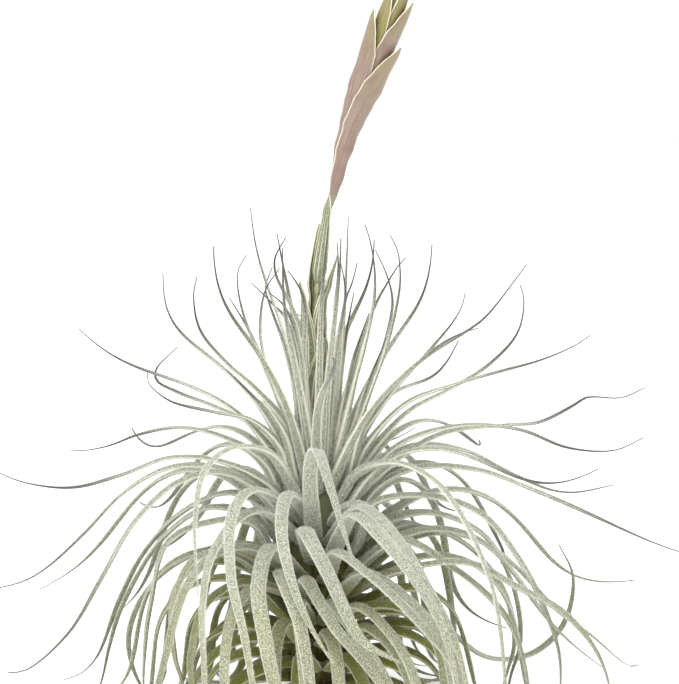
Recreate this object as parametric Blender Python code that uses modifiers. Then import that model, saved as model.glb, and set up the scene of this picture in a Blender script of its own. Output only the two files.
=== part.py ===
"""Tillandsia tectorum, a silver air plant in bud, standing on its own leaves.

Run with: blender --background --python part.py
Metres, +Z up. The origin is the middle of the stem's cut foot, on the table, and -Y is the front.

A woody stem carries thirteen tiers of narrow channelled leaves. The sheaths of a tier join in a
collar round the stem, so each tier is one solid. A scape rises from the heart of the rosette. It is
clasped by scape bracts, and ends in a spike of overlapping spike bracts round a bud.
"""

import math
from collections import namedtuple
from functools import partial

import bmesh
import bpy
import numpy as np
from mathutils import Vector
from mathutils.bvhtree import BVHTree

MM = 0.001
SEED = 7

# Clear space between two solids that touch on the real plant.
GAP = 0.3 * MM

# The stem, as (radius, height) from the middle of its cut foot to its top.
STEM_FOOT_RADIUS = 6.0 * MM
STEM_RADIUS = 5.0 * MM
STEM_TOP_RADIUS = 2.2 * MM
STEM_TOP = 120.0 * MM
STEM_PROFILE = [
    (0.0, 0.0),
    (STEM_FOOT_RADIUS, 0.0),
    (STEM_FOOT_RADIUS + 0.5 * MM, 1.5 * MM),
    (STEM_RADIUS + 0.4 * MM, 5.0 * MM),
    (STEM_RADIUS, 14.0 * MM),
    (STEM_RADIUS, 94.0 * MM),
    (3.4 * MM, 109.0 * MM),
    (STEM_TOP_RADIUS, STEM_TOP),
    (0.0, STEM_TOP),
]
STEM_SIDES = 12

# Dry remains of fallen leaves' sheaths on the bare foot of the stem.
DRY_SCALE_RINGS = [(3.0 * MM, 5), (8.5 * MM, 6)]
DRY_SCALE_LENGTH = 8.5 * MM
# Share of the scale's length, share of its width, and millimetres off the stem's surface.
DRY_SCALE_SECTIONS = [(0.0, 0.9, -1.4), (0.35, 1.0, 0.2), (0.75, 0.6, 1.0), (1.0, 0.18, 1.7)]
DRY_SCALE_HALF_WIDTH = 2.6 * MM
DRY_SCALE_THICKNESS = 1.1 * MM

# The tiers of leaves, from the oldest at the bottom to the youngest in the heart.
TIER_COUNT = 13
LEAVES_IN_TIER = [8, 9, 12, 14, 15, 15, 14, 13, 13, 11, 13, 11, 10]
FIRST_TIER_HEIGHT = 24.0 * MM
LOWEST_PITCH = 9.8 * MM
TOP_PITCH = 5.5 * MM
COLLAR_RADIUS = 12.5 * MM
HEART_COLLAR_RADIUS = 5.4 * MM
COLLAR_STEP = 1.3 * MM
ROOT_DEPTH = 0.8 * MM
STRAIGHT_ROOT = 6.0 * MM
FIRST_BEND = 13.0 * MM
COLLAR_SIDES = 11
COLLAR_BEVEL = 0.8 * MM
COLLAR_BELOW = 0.42
GOLDEN_ANGLE = 137.5

# A leaf: a broad sheath on the collar, a channelled blade, and a long tip as fine as a thread. Blades from
# YOUNG_TIER up narrow early, those below OLD_TIER stay broad and thick, and between them it is a blend.
SHEATH_LENGTH = 26.0 * MM
SHEATH_MIDDLE = 10.0 * MM
BROAD_SHEATH_LENGTH = 6.0 * MM
SHEATH_HALF_WIDTH = 6.0 * MM
HEART_SHEATH_HALF_WIDTH = 2.0 * MM
BLADE_HALF_WIDTH = 2.5 * MM
HEART_BLADE_HALF_WIDTH = 1.5 * MM
GROWING_TIERS = 5
YOUNG_TAPER = [(0.0, 1.0), (0.2, 0.97), (0.45, 0.8), (0.65, 0.54), (0.8, 0.32), (0.92, 0.19), (1.0, 0.14)]
OLD_TAPER = [(0.0, 1.0), (0.2, 1.0), (0.45, 0.93), (0.65, 0.79), (0.8, 0.58), (0.92, 0.34), (1.0, 0.14)]
YOUNG_TIER = 9.0
OLD_TIER = 6.5
ROOT_THICKNESS = 1.9 * MM
BLADE_THICKNESS = 2.3 * MM
THICK_SHARE = 0.5
TIP_THICKNESS = 0.62 * MM
BLADE_CUP = 0.5
LEAST_SHEATH_RISE = 12.0
MEASURED_LEAF_RINGS = 11
RULED_LEAF_RINGS = 8
FRONT_LEAF_SIDES = 4
LEAF_SIDES = 3
DENSE_POINTS = 80
BEND_WEIGHT = 22.0 * MM
LEAF_CLEARANCE = 0.4 * MM
TURN_SHIFT = 2.0
MOST_TURN = 72.0
DEPTH_SHIFT = 0.02
SHEATH_RINGS = 2
MOST_TRIALS = 60

# Leaves bend along the table over this height, and lie this far above it on their own middle line.
TABLE_BEND = 24.0 * MM
TABLE_CLEARANCE = 0.5 * MM

# The front view in which the leaves below were measured: how far off it is taken, how much it looks
# down, and the point (across, up) that it looks at.
VIEW_DISTANCE = 600.0 * MM
VIEW_TILT = math.radians(8.0)
VIEW_AIM = (8.6 * MM, 163.2 * MM)

# Leaves that show in the front view: tier, degrees that the leaf turns towards the viewer from the
# plane of the view, and the run from the heart to the tip, as millimetres (across, up) as seen.
SIDE_LEAVES = [
    (13, -62, [(-4.4, 142), (-5, 158), (-6.6, 168), (-10.6, 178), (-16.9, 191), (-17.4, 197),
               (-12.9, 206)]),
    (13, 60, [(-4.8, 142), (-5.6, 162), (-5, 174), (-6.2, 183), (-8.6, 188), (-12.2, 193)]),
    (13, -50, [(4, 138), (5.6, 160), (7, 177), (8, 190), (8, 198), (7.6, 204)]),
    (13, 55, [(4.4, 134), (8, 164), (10, 175), (11, 183), (10.3, 190), (9, 196)]),
    (13, -38, [(-6, 140), (-8.6, 160), (-13.2, 174), (-17.9, 179), (-21.5, 183), (-26.8, 188)]),
    (12, 40, [(-5.2, 136), (-6.4, 156), (-8.6, 166), (-11.2, 174), (-14.6, 180), (-19.5, 184)]),
    (13, 35, [(6.4, 148), (8.4, 164), (10, 174), (11.3, 182), (13.6, 188), (15.6, 196)]),
    (12, -35, [(8, 140), (11.2, 165), (12.6, 175), (14.3, 184)]),
    (12, 15, [(7.6, 126), (13.2, 154), (16.8, 166), (20.3, 176)]),
    (12, -22, [(-8, 138), (-14, 164), (-17.6, 174), (-19.9, 181), (-20.9, 186), (-18.2, 194)]),
    (12, 20, [(-9.2, 130), (-16, 142), (-21.8, 160), (-23.2, 170), (-20.9, 185), (-15, 194)]),
    (12, 25, [(8.8, 122), (15.2, 150), (18.6, 162), (22.6, 182), (22.6, 193), (20.9, 204), (18.8, 211)]),
    (12, -45, [(10.4, 134), (16.8, 162), (23.6, 180), (27.9, 188), (31.6, 194), (35, 198)]),
    (12, 5, [(13.6, 130), (17.6, 142), (22.4, 154), (27.2, 166)]),
    (11, 8, [(-9.2, 124), (-18.5, 151), (-27.2, 168), (-30.5, 178), (-32, 187), (-31.7, 193),
             (-28.5, 199)]),
    (11, 12, [(14.4, 126), (19.2, 140), (27.9, 164), (32.5, 185), (32.7, 193), (31.6, 201), (28.7, 207)]),
    (11, -18, [(14, 130), (25, 158), (29.8, 178), (29.2, 185), (26.6, 193), (22.8, 201)]),
    (11, -30, [(-11.2, 129), (-26.4, 147), (-35.8, 155), (-47.3, 169), (-49.7, 183), (-48.4, 190)]),
    (11, 20, [(-12.8, 126), (-19.2, 136), (-26.4, 143), (-36.5, 153)]),
    (11, -8, [(15.6, 124), (29.6, 144), (45.6, 162), (54.4, 173), (57.6, 179), (58.8, 184)]),
    (10, 20, [(19.6, 134), (35.6, 152), (45.6, 160), (58.4, 168), (66.6, 174), (78.6, 189), (83.1, 195)]),
    (10, -25, [(-14, 119), (-21, 128), (-40.4, 138), (-56.2, 144), (-64.8, 149), (-64.8, 153),
               (-56.2, 162)]),
    (10, 10, [(-14.4, 121), (-26.4, 133), (-40.4, 136), (-57.6, 140), (-64, 144), (-67.7, 148),
              (-68, 152)]),
    (10, -20, [(17.6, 116), (35.6, 136), (52, 145), (68.4, 155), (79.9, 168), (82.3, 181), (80.8, 187)]),
    (10, 5, [(19.6, 123), (35.6, 140), (53.8, 147), (71, 152), (88.8, 157), (102.8, 163), (108.8, 167)]),
    (9, -12, [(-20.4, 116), (-37.2, 126), (-55, 130), (-72.2, 127), (-83, 123), (-92.6, 121),
              (-99.3, 121)]),
    (9, -25, [(26, 113), (48, 127), (75.4, 131), (88.8, 132), (102.8, 139), (107.5, 142),
              (121.8, 142), (131, 146)]),
    (9, 5, [(19.6, 110), (33.6, 124), (58.4, 131), (81.2, 129), (99.6, 122), (118.6, 121), (130.2, 126)]),
    (9, 15, [(-18.4, 106), (-37.2, 116), (-59.4, 118), (-78.6, 111), (-97.7, 106), (-116.8, 108),
             (-130, 113)]),
    (8, -5, [(-21.6, 105), (-40.4, 114), (-59.4, 114), (-78, 104), (-93.2, 88), (-107.3, 75),
             (-116.8, 69), (-131, 65)]),
    (8, 18, [(-19.2, 100), (-37.6, 112), (-56.4, 108), (-73.6, 92), (-86.8, 69), (-99.6, 48),
             (-116.8, 33), (-124, 32)]),
    (8, -15, [(20.8, 108), (35.6, 122), (58.4, 121), (78.6, 111), (93.2, 105), (102.8, 104),
              (118.6, 107)]),
    (8, 8, [(23.6, 106), (39.6, 114), (64.6, 113), (86.2, 105), (109.2, 95), (134.4, 84), (147, 79.6)]),
    (7, 5, [(-16.4, 95), (-34, 104), (-53.2, 97), (-69, 81), (-79.2, 61), (-88, 39), (-94.4, 32),
            (-101.8, 29)]),
    (7, -20, [(-24.4, 94), (-43.6, 98), (-62.8, 85), (-78, 59), (-83.2, 43), (-86.8, 28), (-90, 8)]),
    (7, 10, [(21.6, 99), (41.6, 103), (64.8, 96), (81.2, 76), (92.6, 52), (96.4, 40), (97.2, 29),
             (96, 12)]),
    (7, -12, [(27.6, 93), (45.6, 96), (66.4, 87), (77.6, 68), (80.8, 44), (77.2, 31), (74, 14)]),
    (6, 12, [(-26.4, 92), (-44.4, 92), (-60.4, 84), (-67.2, 58), (-69.2, 42), (-70, 28), (-69, 10)]),
    (6, -25, [(-30.4, 83), (-50.4, 79), (-68.4, 65), (-75.6, 44), (-71.6, 28), (-64, 10)]),
    (6, -25, [(39.6, 90), (59.6, 83), (73.6, 66), (78.4, 44), (75.6, 32), (72, 12)]),
    (6, 20, [(33.6, 85), (55.6, 73), (69.6, 61), (76.8, 51), (82, 38), (86, 18)]),
    (5, 25, [(-36, 80), (-50, 77), (-57.8, 60), (-57, 38), (-54.4, 28), (-53, 8)]),
    (5, -28, [(33, 84), (50, 88), (66, 84), (79.6, 74), (95.2, 57), (109.1, 47), (125, 34), (128, 26)]),
    (5, 30, [(30, 72), (60, 76), (80, 66), (97.6, 56), (110.4, 42), (115.5, 31), (118, 18)]),
    (4, 35, [(-28.4, 68), (-44.4, 60), (-50.4, 38), (-50.4, 28), (-49, 8)]),
    (4, -35, [(40, 58), (68, 38), (87.5, 40), (99, 52), (102.1, 70), (96.4, 83)]),
]

# Leaves that come forwards: tier, how much wider than its neighbours, and the run from the heart to
# the tip, as millimetres (across, towards the viewer, up) as seen.
FRONT_LEAVES = [
    (10, 1.2, [(-12, 12, 106), (-18.4, 18, 119), (-34, 34, 122), (-45, 45, 113), (-49, 49, 92),
               (-48, 48, 62)]),
    (10, 1.2, [(15.6, 10, 112), (31.6, 18, 116), (46.4, 27, 109), (56.8, 34, 96), (69.6, 42, 66),
               (74.8, 46, 28), (76, 48, -6), (78, 56, -30)]),
    (9, 1.25, [(-27, 34, 105), (-34.6, 47, 95), (-35, 51, 72), (-29, 53, 45), (-24, 54, 10),
               (-24, 58, -25)]),
    (9, 1.3, [(-12.6, 34, 103), (-14.6, 50, 88), (-9, 60, 64), (0, 65, 45), (6.8, 67, 35)]),
    (9, 1.15, [(17, 24, 99), (27, 34, 90), (36, 42, 76), (45, 48, 60), (54, 53, 20), (56, 60, -25)]),
    (8, 1.2, [(-24, 28, 97), (-34, 36, 92), (-43, 42, 78), (-46, 45, 60), (-45, 46, 30), (-45, 52, -15)]),
    (8, 1.2, [(18.4, 30, 98), (31.6, 45, 86), (43.6, 54, 66), (55.4, 59, 42), (63, 62, 10)]),
    (8, 1.2, [(-3, 20, 104), (-3, 24, 114), (-0.6, 33, 121), (5.2, 50, 104), (14.4, 66, 76)]),
    (7, 1.2, [(14.6, 34, 95), (26, 52, 85), (38.4, 63, 69), (50, 71, 49), (58, 76, 16)]),
    (7, 1.4, [(-5, 40, 89), (3, 62, 73), (12.6, 76, 52), (18.4, 80, 44), (32.8, 88, 36)]),
    (6, 1.3, [(-19.6, 36, 82), (-24, 50, 66), (-20.4, 56, 42), (-14, 59, 10), (-13, 64, -25)]),
    (6, 1.2, [(8, 34, 80), (18.4, 46, 73), (31, 57, 61.6), (42.4, 65, 49), (54, 71, 34), (62, 76, 0)]),
    (5, 1.2, [(-15, 36, 72), (-12, 52, 64), (-7.6, 60, 52), (-4, 66, 30), (-1, 70, -20)]),
    (5, 1.2, [(19.6, 40, 72), (39.6, 62, 58), (54.4, 75, 36), (60, 82, -10)]),
    (5, 1.1, [(-26, 30, 66), (-34, 40, 56), (-37, 44, 40), (-36, 48, 0), (-38, 56, -24)]),
    (5, 1.2, [(-4.4, 36, 69), (2, 52, 58), (8, 62, 48), (18, 72, 36), (28, 80, 22), (36, 86, 4)]),
    (4, 1.15, [(-8, 38, 60), (-6, 52, 42), (-4, 58, 10), (-3, 64, -22)]),
    (4, 1.15, [(6, 36, 60), (12, 52, 52), (20, 64, 40), (30, 74, 22), (38, 82, -6)]),
    (4, 1.1, [(18, 36, 58), (34, 54, 40), (44, 64, 8), (50, 74, -24)]),
    (3, 1.1, [(-14, 34, 52), (-17, 46, 42), (-17, 54, 16), (-18, 62, -20)]),
    (3, 1.1, [(4, 36, 48), (7, 50, 40), (9, 60, 16), (10, 66, -22)]),
    (3, 1.1, [(20, 32, 50), (32, 44, 38), (40, 54, 12), (44, 62, -24)]),
    (2, 1.0, [(-6, 34, 38), (-8, 46, 28), (-8, 56, 2), (-9, 64, -22)]),
    (2, 1.0, [(12, 32, 38), (18, 44, 28), (22, 56, 0), (24, 64, -22)]),
]

# The front view shows every leaf of these tiers that stands this way, in degrees from the right.
SHOWN_TIERS = range(6, 11)
SHOWN_TURNS = range(45, 136, 15)

# Leaves that the front view doesn't show follow a rule. Each row is for one share of the way from the
# lowest tier to the heart: rise at the sheath, droop, upturn of the tip, all in degrees, and length.
LEAF_RULE = [
    (0.00, 2, 80, 30, 74.0 * MM),
    (0.17, 14, 98, 30, 98.0 * MM),
    (0.33, 30, 112, 34, 122.0 * MM),
    (0.50, 42, 112, 44, 142.0 * MM),
    (0.62, 50, 88, 36, 142.0 * MM),
    (0.75, 58, 56, 24, 122.0 * MM),
    (0.88, 70, 10, 16, 106.0 * MM),
    (1.00, 80, 2, 12, 92.0 * MM),
]
RISE_SPREAD = 5.0
DROOP_SPREAD = 9.0
UPTURN_SPREAD = 16.0
LENGTH_SPREAD = 0.07
SWEEP_SPREAD = 12.0
CURL_SPREAD = 30.0
STEEPEST_FALL = -85.0
STEEPEST_RISE = 88.0
TURN_SPREAD = 4.0
TURN_SPREAD_GROWTH = 0.5

# The scape, as points (across, up) in millimetres on its axis as seen from the front, and its bud.
SCAPE_RUN = [
    (-2, 142), (-1.6, 162), (-0.6, 182), (1.8, 202), (5.2, 222),
    (9.8, 242), (15, 258), (20.6, 272), (26, 286), (32.2, 302), (37, 314), (41, 326),
]
SCAPE_POINTS = 240
SCAPE_UPRIGHT = 4.0 * MM
SCAPE_RADIUS = 1.9 * MM
SCAPE_NECK_RADIUS = 1.2 * MM
SCAPE_LENGTH = 155.0 * MM
SCAPE_SIDES = 8
SCAPE_RINGS = 14
SCAPE_FIT = 1.03
BUD_LENGTH = 52.0 * MM
BUD_RADIUS = 2.3 * MM
BUD_SIDES = 8
BUD_RINGS = 8

# Bracts, in the order in which they grow up the scape: start and length along it, the way they face in
# degrees from the right towards the viewer, and the half angle that they wrap.
BRACT_THICKNESS = 0.6 * MM
BRACT_STATION = 8.0 * MM
BRACT_RAMP = 7.0 * MM
SCAPE_BRACTS = [
    (3.0 * MM, 44.0 * MM, 60, 100),
    (13.0 * MM, 46.0 * MM, 285, 100),
    (24.0 * MM, 44.0 * MM, 150, 98),
    (38.0 * MM, 42.0 * MM, 20, 96),
    (53.0 * MM, 38.0 * MM, 235, 95),
    (68.0 * MM, 35.0 * MM, 100, 92),
]
SPIKE_BRACTS = [
    (99.0 * MM, 67.0 * MM, 24, 104),
    (111.0 * MM, 65.0 * MM, 158, 96),
    (123.0 * MM, 61.0 * MM, 20, 100),
    (134.0 * MM, 58.0 * MM, 162, 94),
    (141.0 * MM, 58.0 * MM, 26, 92),
    (148.0 * MM, 53.0 * MM, 154, 88),
]
# A bract's outline, as (share of its length, share of its wrap): a long point on a scape bract.
SCAPE_BRACT_OUTLINE = [(0.0, 0.97), (0.15, 1.0), (0.4, 0.85), (0.65, 0.55), (0.85, 0.24), (1.0, 0.06)]
SPIKE_BRACT_OUTLINE = [(0.0, 0.97), (0.15, 1.0), (0.5, 0.92), (0.75, 0.68), (0.9, 0.38), (1.0, 0.05)]
SCAPE_BRACT_POINTS = 6
SPIKE_BRACT_POINTS = 8
FREE_TIP_LENGTH = 12.0 * MM
SCAPE_BRACT_REACH = 0.8 * MM
SPIKE_BRACT_REACH = 0.3 * MM

# Finishes: base colour, roughness, metallic.
LEAF_FINISH = ((0.52, 0.55, 0.42, 1.0), 0.9, 0.0)
STEM_FINISH = ((0.28, 0.21, 0.13, 1.0), 0.9, 0.0)
SCAPE_FINISH = ((0.50, 0.53, 0.34, 1.0), 0.7, 0.0)
SCAPE_BRACT_FINISH = ((0.56, 0.56, 0.42, 1.0), 0.85, 0.0)
SPIKE_BRACT_FINISH = ((0.66, 0.50, 0.43, 1.0), 0.6, 0.0)
BUD_FINISH = ((0.42, 0.44, 0.14, 1.0), 0.6, 0.0)


def clear_scene():
    for old in list(bpy.data.objects):
        bpy.data.objects.remove(old)


def new_collection(name):
    made = bpy.data.collections.new(name)
    bpy.context.scene.collection.children.link(made)
    return made


def finish_material(name, finish):
    colour, roughness, metallic = finish
    material = bpy.data.materials.new(name)
    material.use_nodes = True
    shader = material.node_tree.nodes["Principled BSDF"]
    shader.inputs["Base Color"].default_value = colour
    shader.inputs["Roughness"].default_value = roughness
    shader.inputs["Metallic"].default_value = metallic
    return material


def object_of(name, mesh, collection, finish=None):
    made = bpy.data.objects.new(name, mesh)
    collection.objects.link(made)
    if finish is not None:
        mesh.materials.append(finish_material(name, finish))
    return made


def unit(vector):
    return vector / np.linalg.norm(vector)


def eased(value, low, high):
    """0 below low, 1 above high, with a smooth step between."""
    share = np.clip((value - low) / (high - low), 0.0, 1.0)
    return share * share * (3.0 - 2.0 * share)


def real_place(across, up, toward=0.0):
    """The real place of a point read off the front view, in metres, at `toward` in front of the stem."""
    aim_across, aim_up = VIEW_AIM
    seen_up = up - aim_up
    cos_tilt, sin_tilt = math.cos(VIEW_TILT), math.sin(VIEW_TILT)
    height = seen_up * (VIEW_DISTANCE - toward * cos_tilt) + VIEW_DISTANCE * toward * sin_tilt
    height /= VIEW_DISTANCE * cos_tilt + seen_up * sin_tilt
    away = -toward * cos_tilt - height * sin_tilt
    side = (across - aim_across) * (VIEW_DISTANCE + away) / VIEW_DISTANCE
    return np.array([side + aim_across, -toward, height + aim_up])


def smooth_through(points, count):
    """`count` points evenly spaced along a centripetal Catmull-Rom curve through `points`."""
    points = np.array(points, float)
    ends = np.vstack([2 * points[0] - points[1], points, 2 * points[-1] - points[-2]])
    knots = np.concatenate([[0.0], np.cumsum(np.sqrt(np.linalg.norm(np.diff(ends, axis=0), axis=1)))])
    fine = []
    for i in range(1, len(ends) - 2):
        t0, t1, t2, t3 = knots[i - 1 : i + 3]
        p0, p1, p2, p3 = ends[i - 1 : i + 3]
        t = np.linspace(t1, t2, 16, endpoint=False)[:, None]
        a1 = (t1 - t) / (t1 - t0) * p0 + (t - t0) / (t1 - t0) * p1
        a2 = (t2 - t) / (t2 - t1) * p1 + (t - t1) / (t2 - t1) * p2
        a3 = (t3 - t) / (t3 - t2) * p2 + (t - t2) / (t3 - t2) * p3
        b1 = (t2 - t) / (t2 - t0) * a1 + (t - t0) / (t2 - t0) * a2
        b2 = (t3 - t) / (t3 - t1) * a2 + (t - t1) / (t3 - t1) * a3
        fine.append((t2 - t) / (t2 - t1) * b1 + (t - t1) / (t2 - t1) * b2)
    fine.append(points[-1:])
    return spaced(np.vstack(fine), count)


def spaced(points, count):
    """`count` points evenly spaced along a polyline."""
    run = np.concatenate([[0.0], np.cumsum(np.linalg.norm(np.diff(points, axis=0), axis=1))])
    at = np.linspace(0.0, run[-1], count)
    return np.column_stack([np.interp(at, run, points[:, i]) for i in range(3)])


def tier_heights():
    pitches = np.linspace(LOWEST_PITCH, TOP_PITCH, TIER_COUNT - 1)
    return FIRST_TIER_HEIGHT + np.concatenate([[0.0], np.cumsum(pitches)])


TIER_HEIGHTS = tier_heights()


def stem_radius_at(height):
    radii = [r for r, z in STEM_PROFILE[1:-1]]
    heights = [z for r, z in STEM_PROFILE[1:-1]]
    return float(np.interp(height, heights, radii))


def collar_radius(tier):
    """Outer radius of the collar of tier 1 to TIER_COUNT. The heart's collars step inwards."""
    return min(COLLAR_RADIUS, HEART_COLLAR_RADIUS + COLLAR_STEP * (TIER_COUNT - tier))


def tier_share(tier):
    return (tier - 1) / (TIER_COUNT - 1)


def rule_for(tier):
    """Rise, droop, upturn and length of a leaf of this tier."""
    share = tier_share(tier)
    rows = np.array(LEAF_RULE)
    return [float(np.interp(share, rows[:, 0], rows[:, i])) for i in range(1, 5)]


def root_of(tier, turn):
    """The leaf's root inside its collar, and the way it leaves, for a turn in degrees from the right."""
    rise = math.radians(rule_for(tier)[0])
    height = TIER_HEIGHTS[tier - 1]
    radius = collar_radius(tier) - ROOT_DEPTH
    out = np.array([math.cos(math.radians(turn)), -math.sin(math.radians(turn)), 0.0])
    up = np.array([0.0, 0.0, 1.0])
    return out * radius + up * height, out * math.cos(rise) + up * math.sin(rise)


def walked(root, ways, stride):
    """The line from the root that takes one stride each way, and turns along the table, not into it."""
    places = [root]
    for way in ways:
        room = (places[-1][2] - TABLE_CLEARANCE) / TABLE_BEND
        down = max(way[2], -eased(room, 0.0, 1.0) ** 0.5)
        flat = np.array([way[0], way[1], 0.0])
        flat_length = np.linalg.norm(flat)
        ahead = flat / flat_length if flat_length > 0.05 else unit(np.array([root[0], root[1], 0.0]))
        step = ahead * math.sqrt(max(1.0 - down * down, 0.0)) + np.array([0.0, 0.0, down])
        places.append(places[-1] + step * stride)
    return np.array(places)


def measured_line(tier, run, trial):
    """A leaf measured in the front view. Later trials shift it in depth alone, which that view hides."""
    shift = (trial + 1) // 2 * (1 if trial % 2 else -1)
    places = [real_place(a * MM, u * MM, t * MM * (1.0 + DEPTH_SHIFT * shift)) for a, t, u in run]
    for place in places:
        place[2] = max(place[2], TABLE_CLEARANCE)
    turn = math.degrees(math.atan2(-places[0][1], places[0][0]))
    root, way = root_of(tier, turn)
    path = [root, root + way * STRAIGHT_ROOT]
    path += [p for p in places if np.linalg.norm(p - root) > FIRST_BEND]
    return smooth_through(path, DENSE_POINTS)


def side_line(tier, degrees, run, trial):
    """A leaf in an upright plane at `degrees` towards the viewer. Later trials turn it more or less."""
    shift = (trial + 1) // 2 * (1 if trial % 2 else -1)
    slope = math.tan(math.radians(np.clip(degrees + TURN_SHIFT * shift, -MOST_TURN, MOST_TURN)))
    return measured_line(tier, [(a, abs(a) * slope, u) for a, u in run], 0)


def ruled_line(tier, turn, slot, trial):
    """A leaf that follows LEAF_RULE, with its own seeded draw for each trial."""
    draw = np.random.default_rng([SEED, tier, slot, trial])
    rise, droop, upturn, length = rule_for(tier)
    rise += draw.normal(0.0, RISE_SPREAD)
    droop += draw.normal(0.0, DROOP_SPREAD)
    upturn += draw.normal(0.0, UPTURN_SPREAD)
    length *= 1.0 + draw.normal(0.0, LENGTH_SPREAD)
    sweep = draw.normal(0.0, SWEEP_SPREAD)
    curl = draw.normal(0.0, CURL_SPREAD)
    turn += draw.normal(0.0, TURN_SPREAD + TURN_SPREAD_GROWTH * trial)
    root, _ = root_of(tier, turn)
    share = (np.arange(DENSE_POINTS - 1) + 0.5) / (DENSE_POINTS - 1)
    tilt = rise - droop * eased(share, 0.06, 0.66) + upturn * eased(share, 0.66, 1.0)
    tilt = np.radians(np.clip(tilt, STEEPEST_FALL, STEEPEST_RISE))
    heading = np.radians(turn + sweep * eased(share, 0.1, 0.8) + curl * eased(share, 0.6, 1.0))
    steps = np.column_stack([
        np.cos(tilt) * np.cos(heading), -np.cos(tilt) * np.sin(heading), np.sin(tilt)
    ])
    return walked(root, steps, length / (DENSE_POINTS - 1))


def ring_places(line, count):
    """Where along the dense line the leaf's rings go, closer together where it bends, and its run."""
    run = np.concatenate([[0.0], np.cumsum(np.linalg.norm(np.diff(line, axis=0), axis=1))])
    ways = np.diff(line, axis=0)
    ways /= np.linalg.norm(ways, axis=1)[:, None]
    bends = np.zeros(len(line))
    bends[1:-1] = np.arccos(np.clip(np.sum(ways[1:] * ways[:-1], axis=1), -1.0, 1.0))
    effort = np.cumsum(np.gradient(run) + BEND_WEIGHT * bends)
    effort = (effort - effort[0]) / (effort[-1] - effort[0])
    along = np.interp(np.linspace(0.0, 1.0, count), effort, run)
    along[1 + np.argmin(np.abs(along[1:-1] - SHEATH_MIDDLE))] = SHEATH_MIDDLE
    return along, run


def carried_frames(points, first_normal):
    """Tangent, side and normal at each point, with the normal carried along without twist."""
    tangents = np.gradient(points, axis=0)
    tangents /= np.linalg.norm(tangents, axis=1)[:, None]
    normal = first_normal
    frames = []
    for tangent in tangents:
        normal = unit(normal - np.dot(normal, tangent) * tangent)
        frames.append((tangent, np.cross(tangent, normal), normal))
    return frames


def leaf_sizes(along, length, tier, wide):
    """Half width, thickness and cup of a leaf's section at a distance from its root."""
    age = min(1.0, ((TIER_COUNT - tier) / GROWING_TIERS) ** 2)
    sheath = HEART_SHEATH_HALF_WIDTH + (SHEATH_HALF_WIDTH - HEART_SHEATH_HALF_WIDTH) * age
    blade = (HEART_BLADE_HALF_WIDTH + (BLADE_HALF_WIDTH - HEART_BLADE_HALF_WIDTH) * age) * wide
    share = (along - SHEATH_LENGTH) / (length - SHEATH_LENGTH)
    old = eased(tier, YOUNG_TIER, OLD_TIER)
    young_taper, old_taper = [np.interp(share, *zip(*taper)) for taper in (YOUNG_TAPER, OLD_TAPER)]
    taper = young_taper + (old_taper - young_taper) * old
    narrowing = eased(along, BROAD_SHEATH_LENGTH, SHEATH_LENGTH)
    half_width = sheath + (blade * taper - sheath) * narrowing
    thick_until = SHEATH_LENGTH + THICK_SHARE * old * (length - SHEATH_LENGTH)
    thickness = np.interp(
        along,
        [0.0, SHEATH_LENGTH, thick_until, length],
        [ROOT_THICKNESS, BLADE_THICKNESS, BLADE_THICKNESS, TIP_THICKNESS],
    )
    rise = math.radians(max(rule_for(tier)[0], LEAST_SHEATH_RISE))
    sheath_cup = 0.5 * half_width / collar_radius(tier) * math.sin(rise)
    cup = sheath_cup + (BLADE_CUP - sheath_cup) * narrowing
    return half_width, thickness, cup * half_width * (1.0 - eased(share, 0.6, 0.95))


def leaf_rings(line, leaf, grow=0.0):
    """The leaf's rings of corners: an edge, the keel, the other edge and, of four, the channel's bottom."""
    at, run = ring_places(line, leaf.rings)
    points = np.column_stack([np.interp(at, run, line[:, i]) for i in range(3)])
    inward = np.array([-line[0][0], -line[0][1], 0.0])
    frames = carried_frames(points, unit(unit(inward) + np.array([0.0, 0.0, 1.0])))
    rings = []
    for point, along, (_, side, normal) in zip(points, at, frames):
        half_width, thickness, cup = leaf_sizes(along, run[-1], leaf.tier, leaf.wide)
        half_width, thickness = half_width + grow, thickness + 2.0 * grow
        ring = np.array([
            point - side * half_width + normal * cup,
            point - normal * thickness / 2.0,
            point + side * half_width + normal * cup,
            point + normal * thickness / 2.0,
        ][: leaf.sides])
        ring[:, 2] = np.maximum(ring[:, 2], 0.0)
        rings.append(ring)
    return rings


def loft(name, rings, collection, finish=None):
    """A closed solid through rings of equally many corners, each ring bridged to the next.

    Each side splits at the even corners of its lower ring, so a thin blade's two faces split alike.
    """
    shape = bmesh.new()
    corners = [[shape.verts.new(corner) for corner in ring] for ring in rings]
    loops = [[shape.edges.new(pair) for pair in zip(ring, ring[1:] + ring[:1])] for ring in corners]
    for lower, upper in zip(loops, loops[1:]):
        bmesh.ops.bridge_loops(shape, edges=lower + upper)
    for lower, upper in zip(corners, corners[1:]):
        for i in range(0, len(lower), 2):
            for neighbour in (upper[i - 1], upper[(i + 1) % len(upper)]):
                bmesh.ops.connect_verts(shape, verts=[lower[i], neighbour])
    bmesh.ops.holes_fill(shape, edges=loops[0] + loops[-1], sides=0)
    bmesh.ops.recalc_face_normals(shape, faces=shape.faces)
    mesh = bpy.data.meshes.new(name)
    shape.to_mesh(mesh)
    shape.free()
    return object_of(name, mesh, collection, finish)


def tree_of(rings):
    """A search tree of the loft's sides, to see what crosses it."""
    if not rings:
        return BVHTree.FromPolygons([], [])
    count = len(rings[0])
    sides = [
        (r * count + i, r * count + (i + 1) % count, (r + 1) * count + (i + 1) % count, (r + 1) * count + i)
        for r in range(len(rings) - 1)
        for i in range(count)
    ]
    return BVHTree.FromPolygons([Vector(p) for p in np.vstack(rings)], sides)


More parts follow.
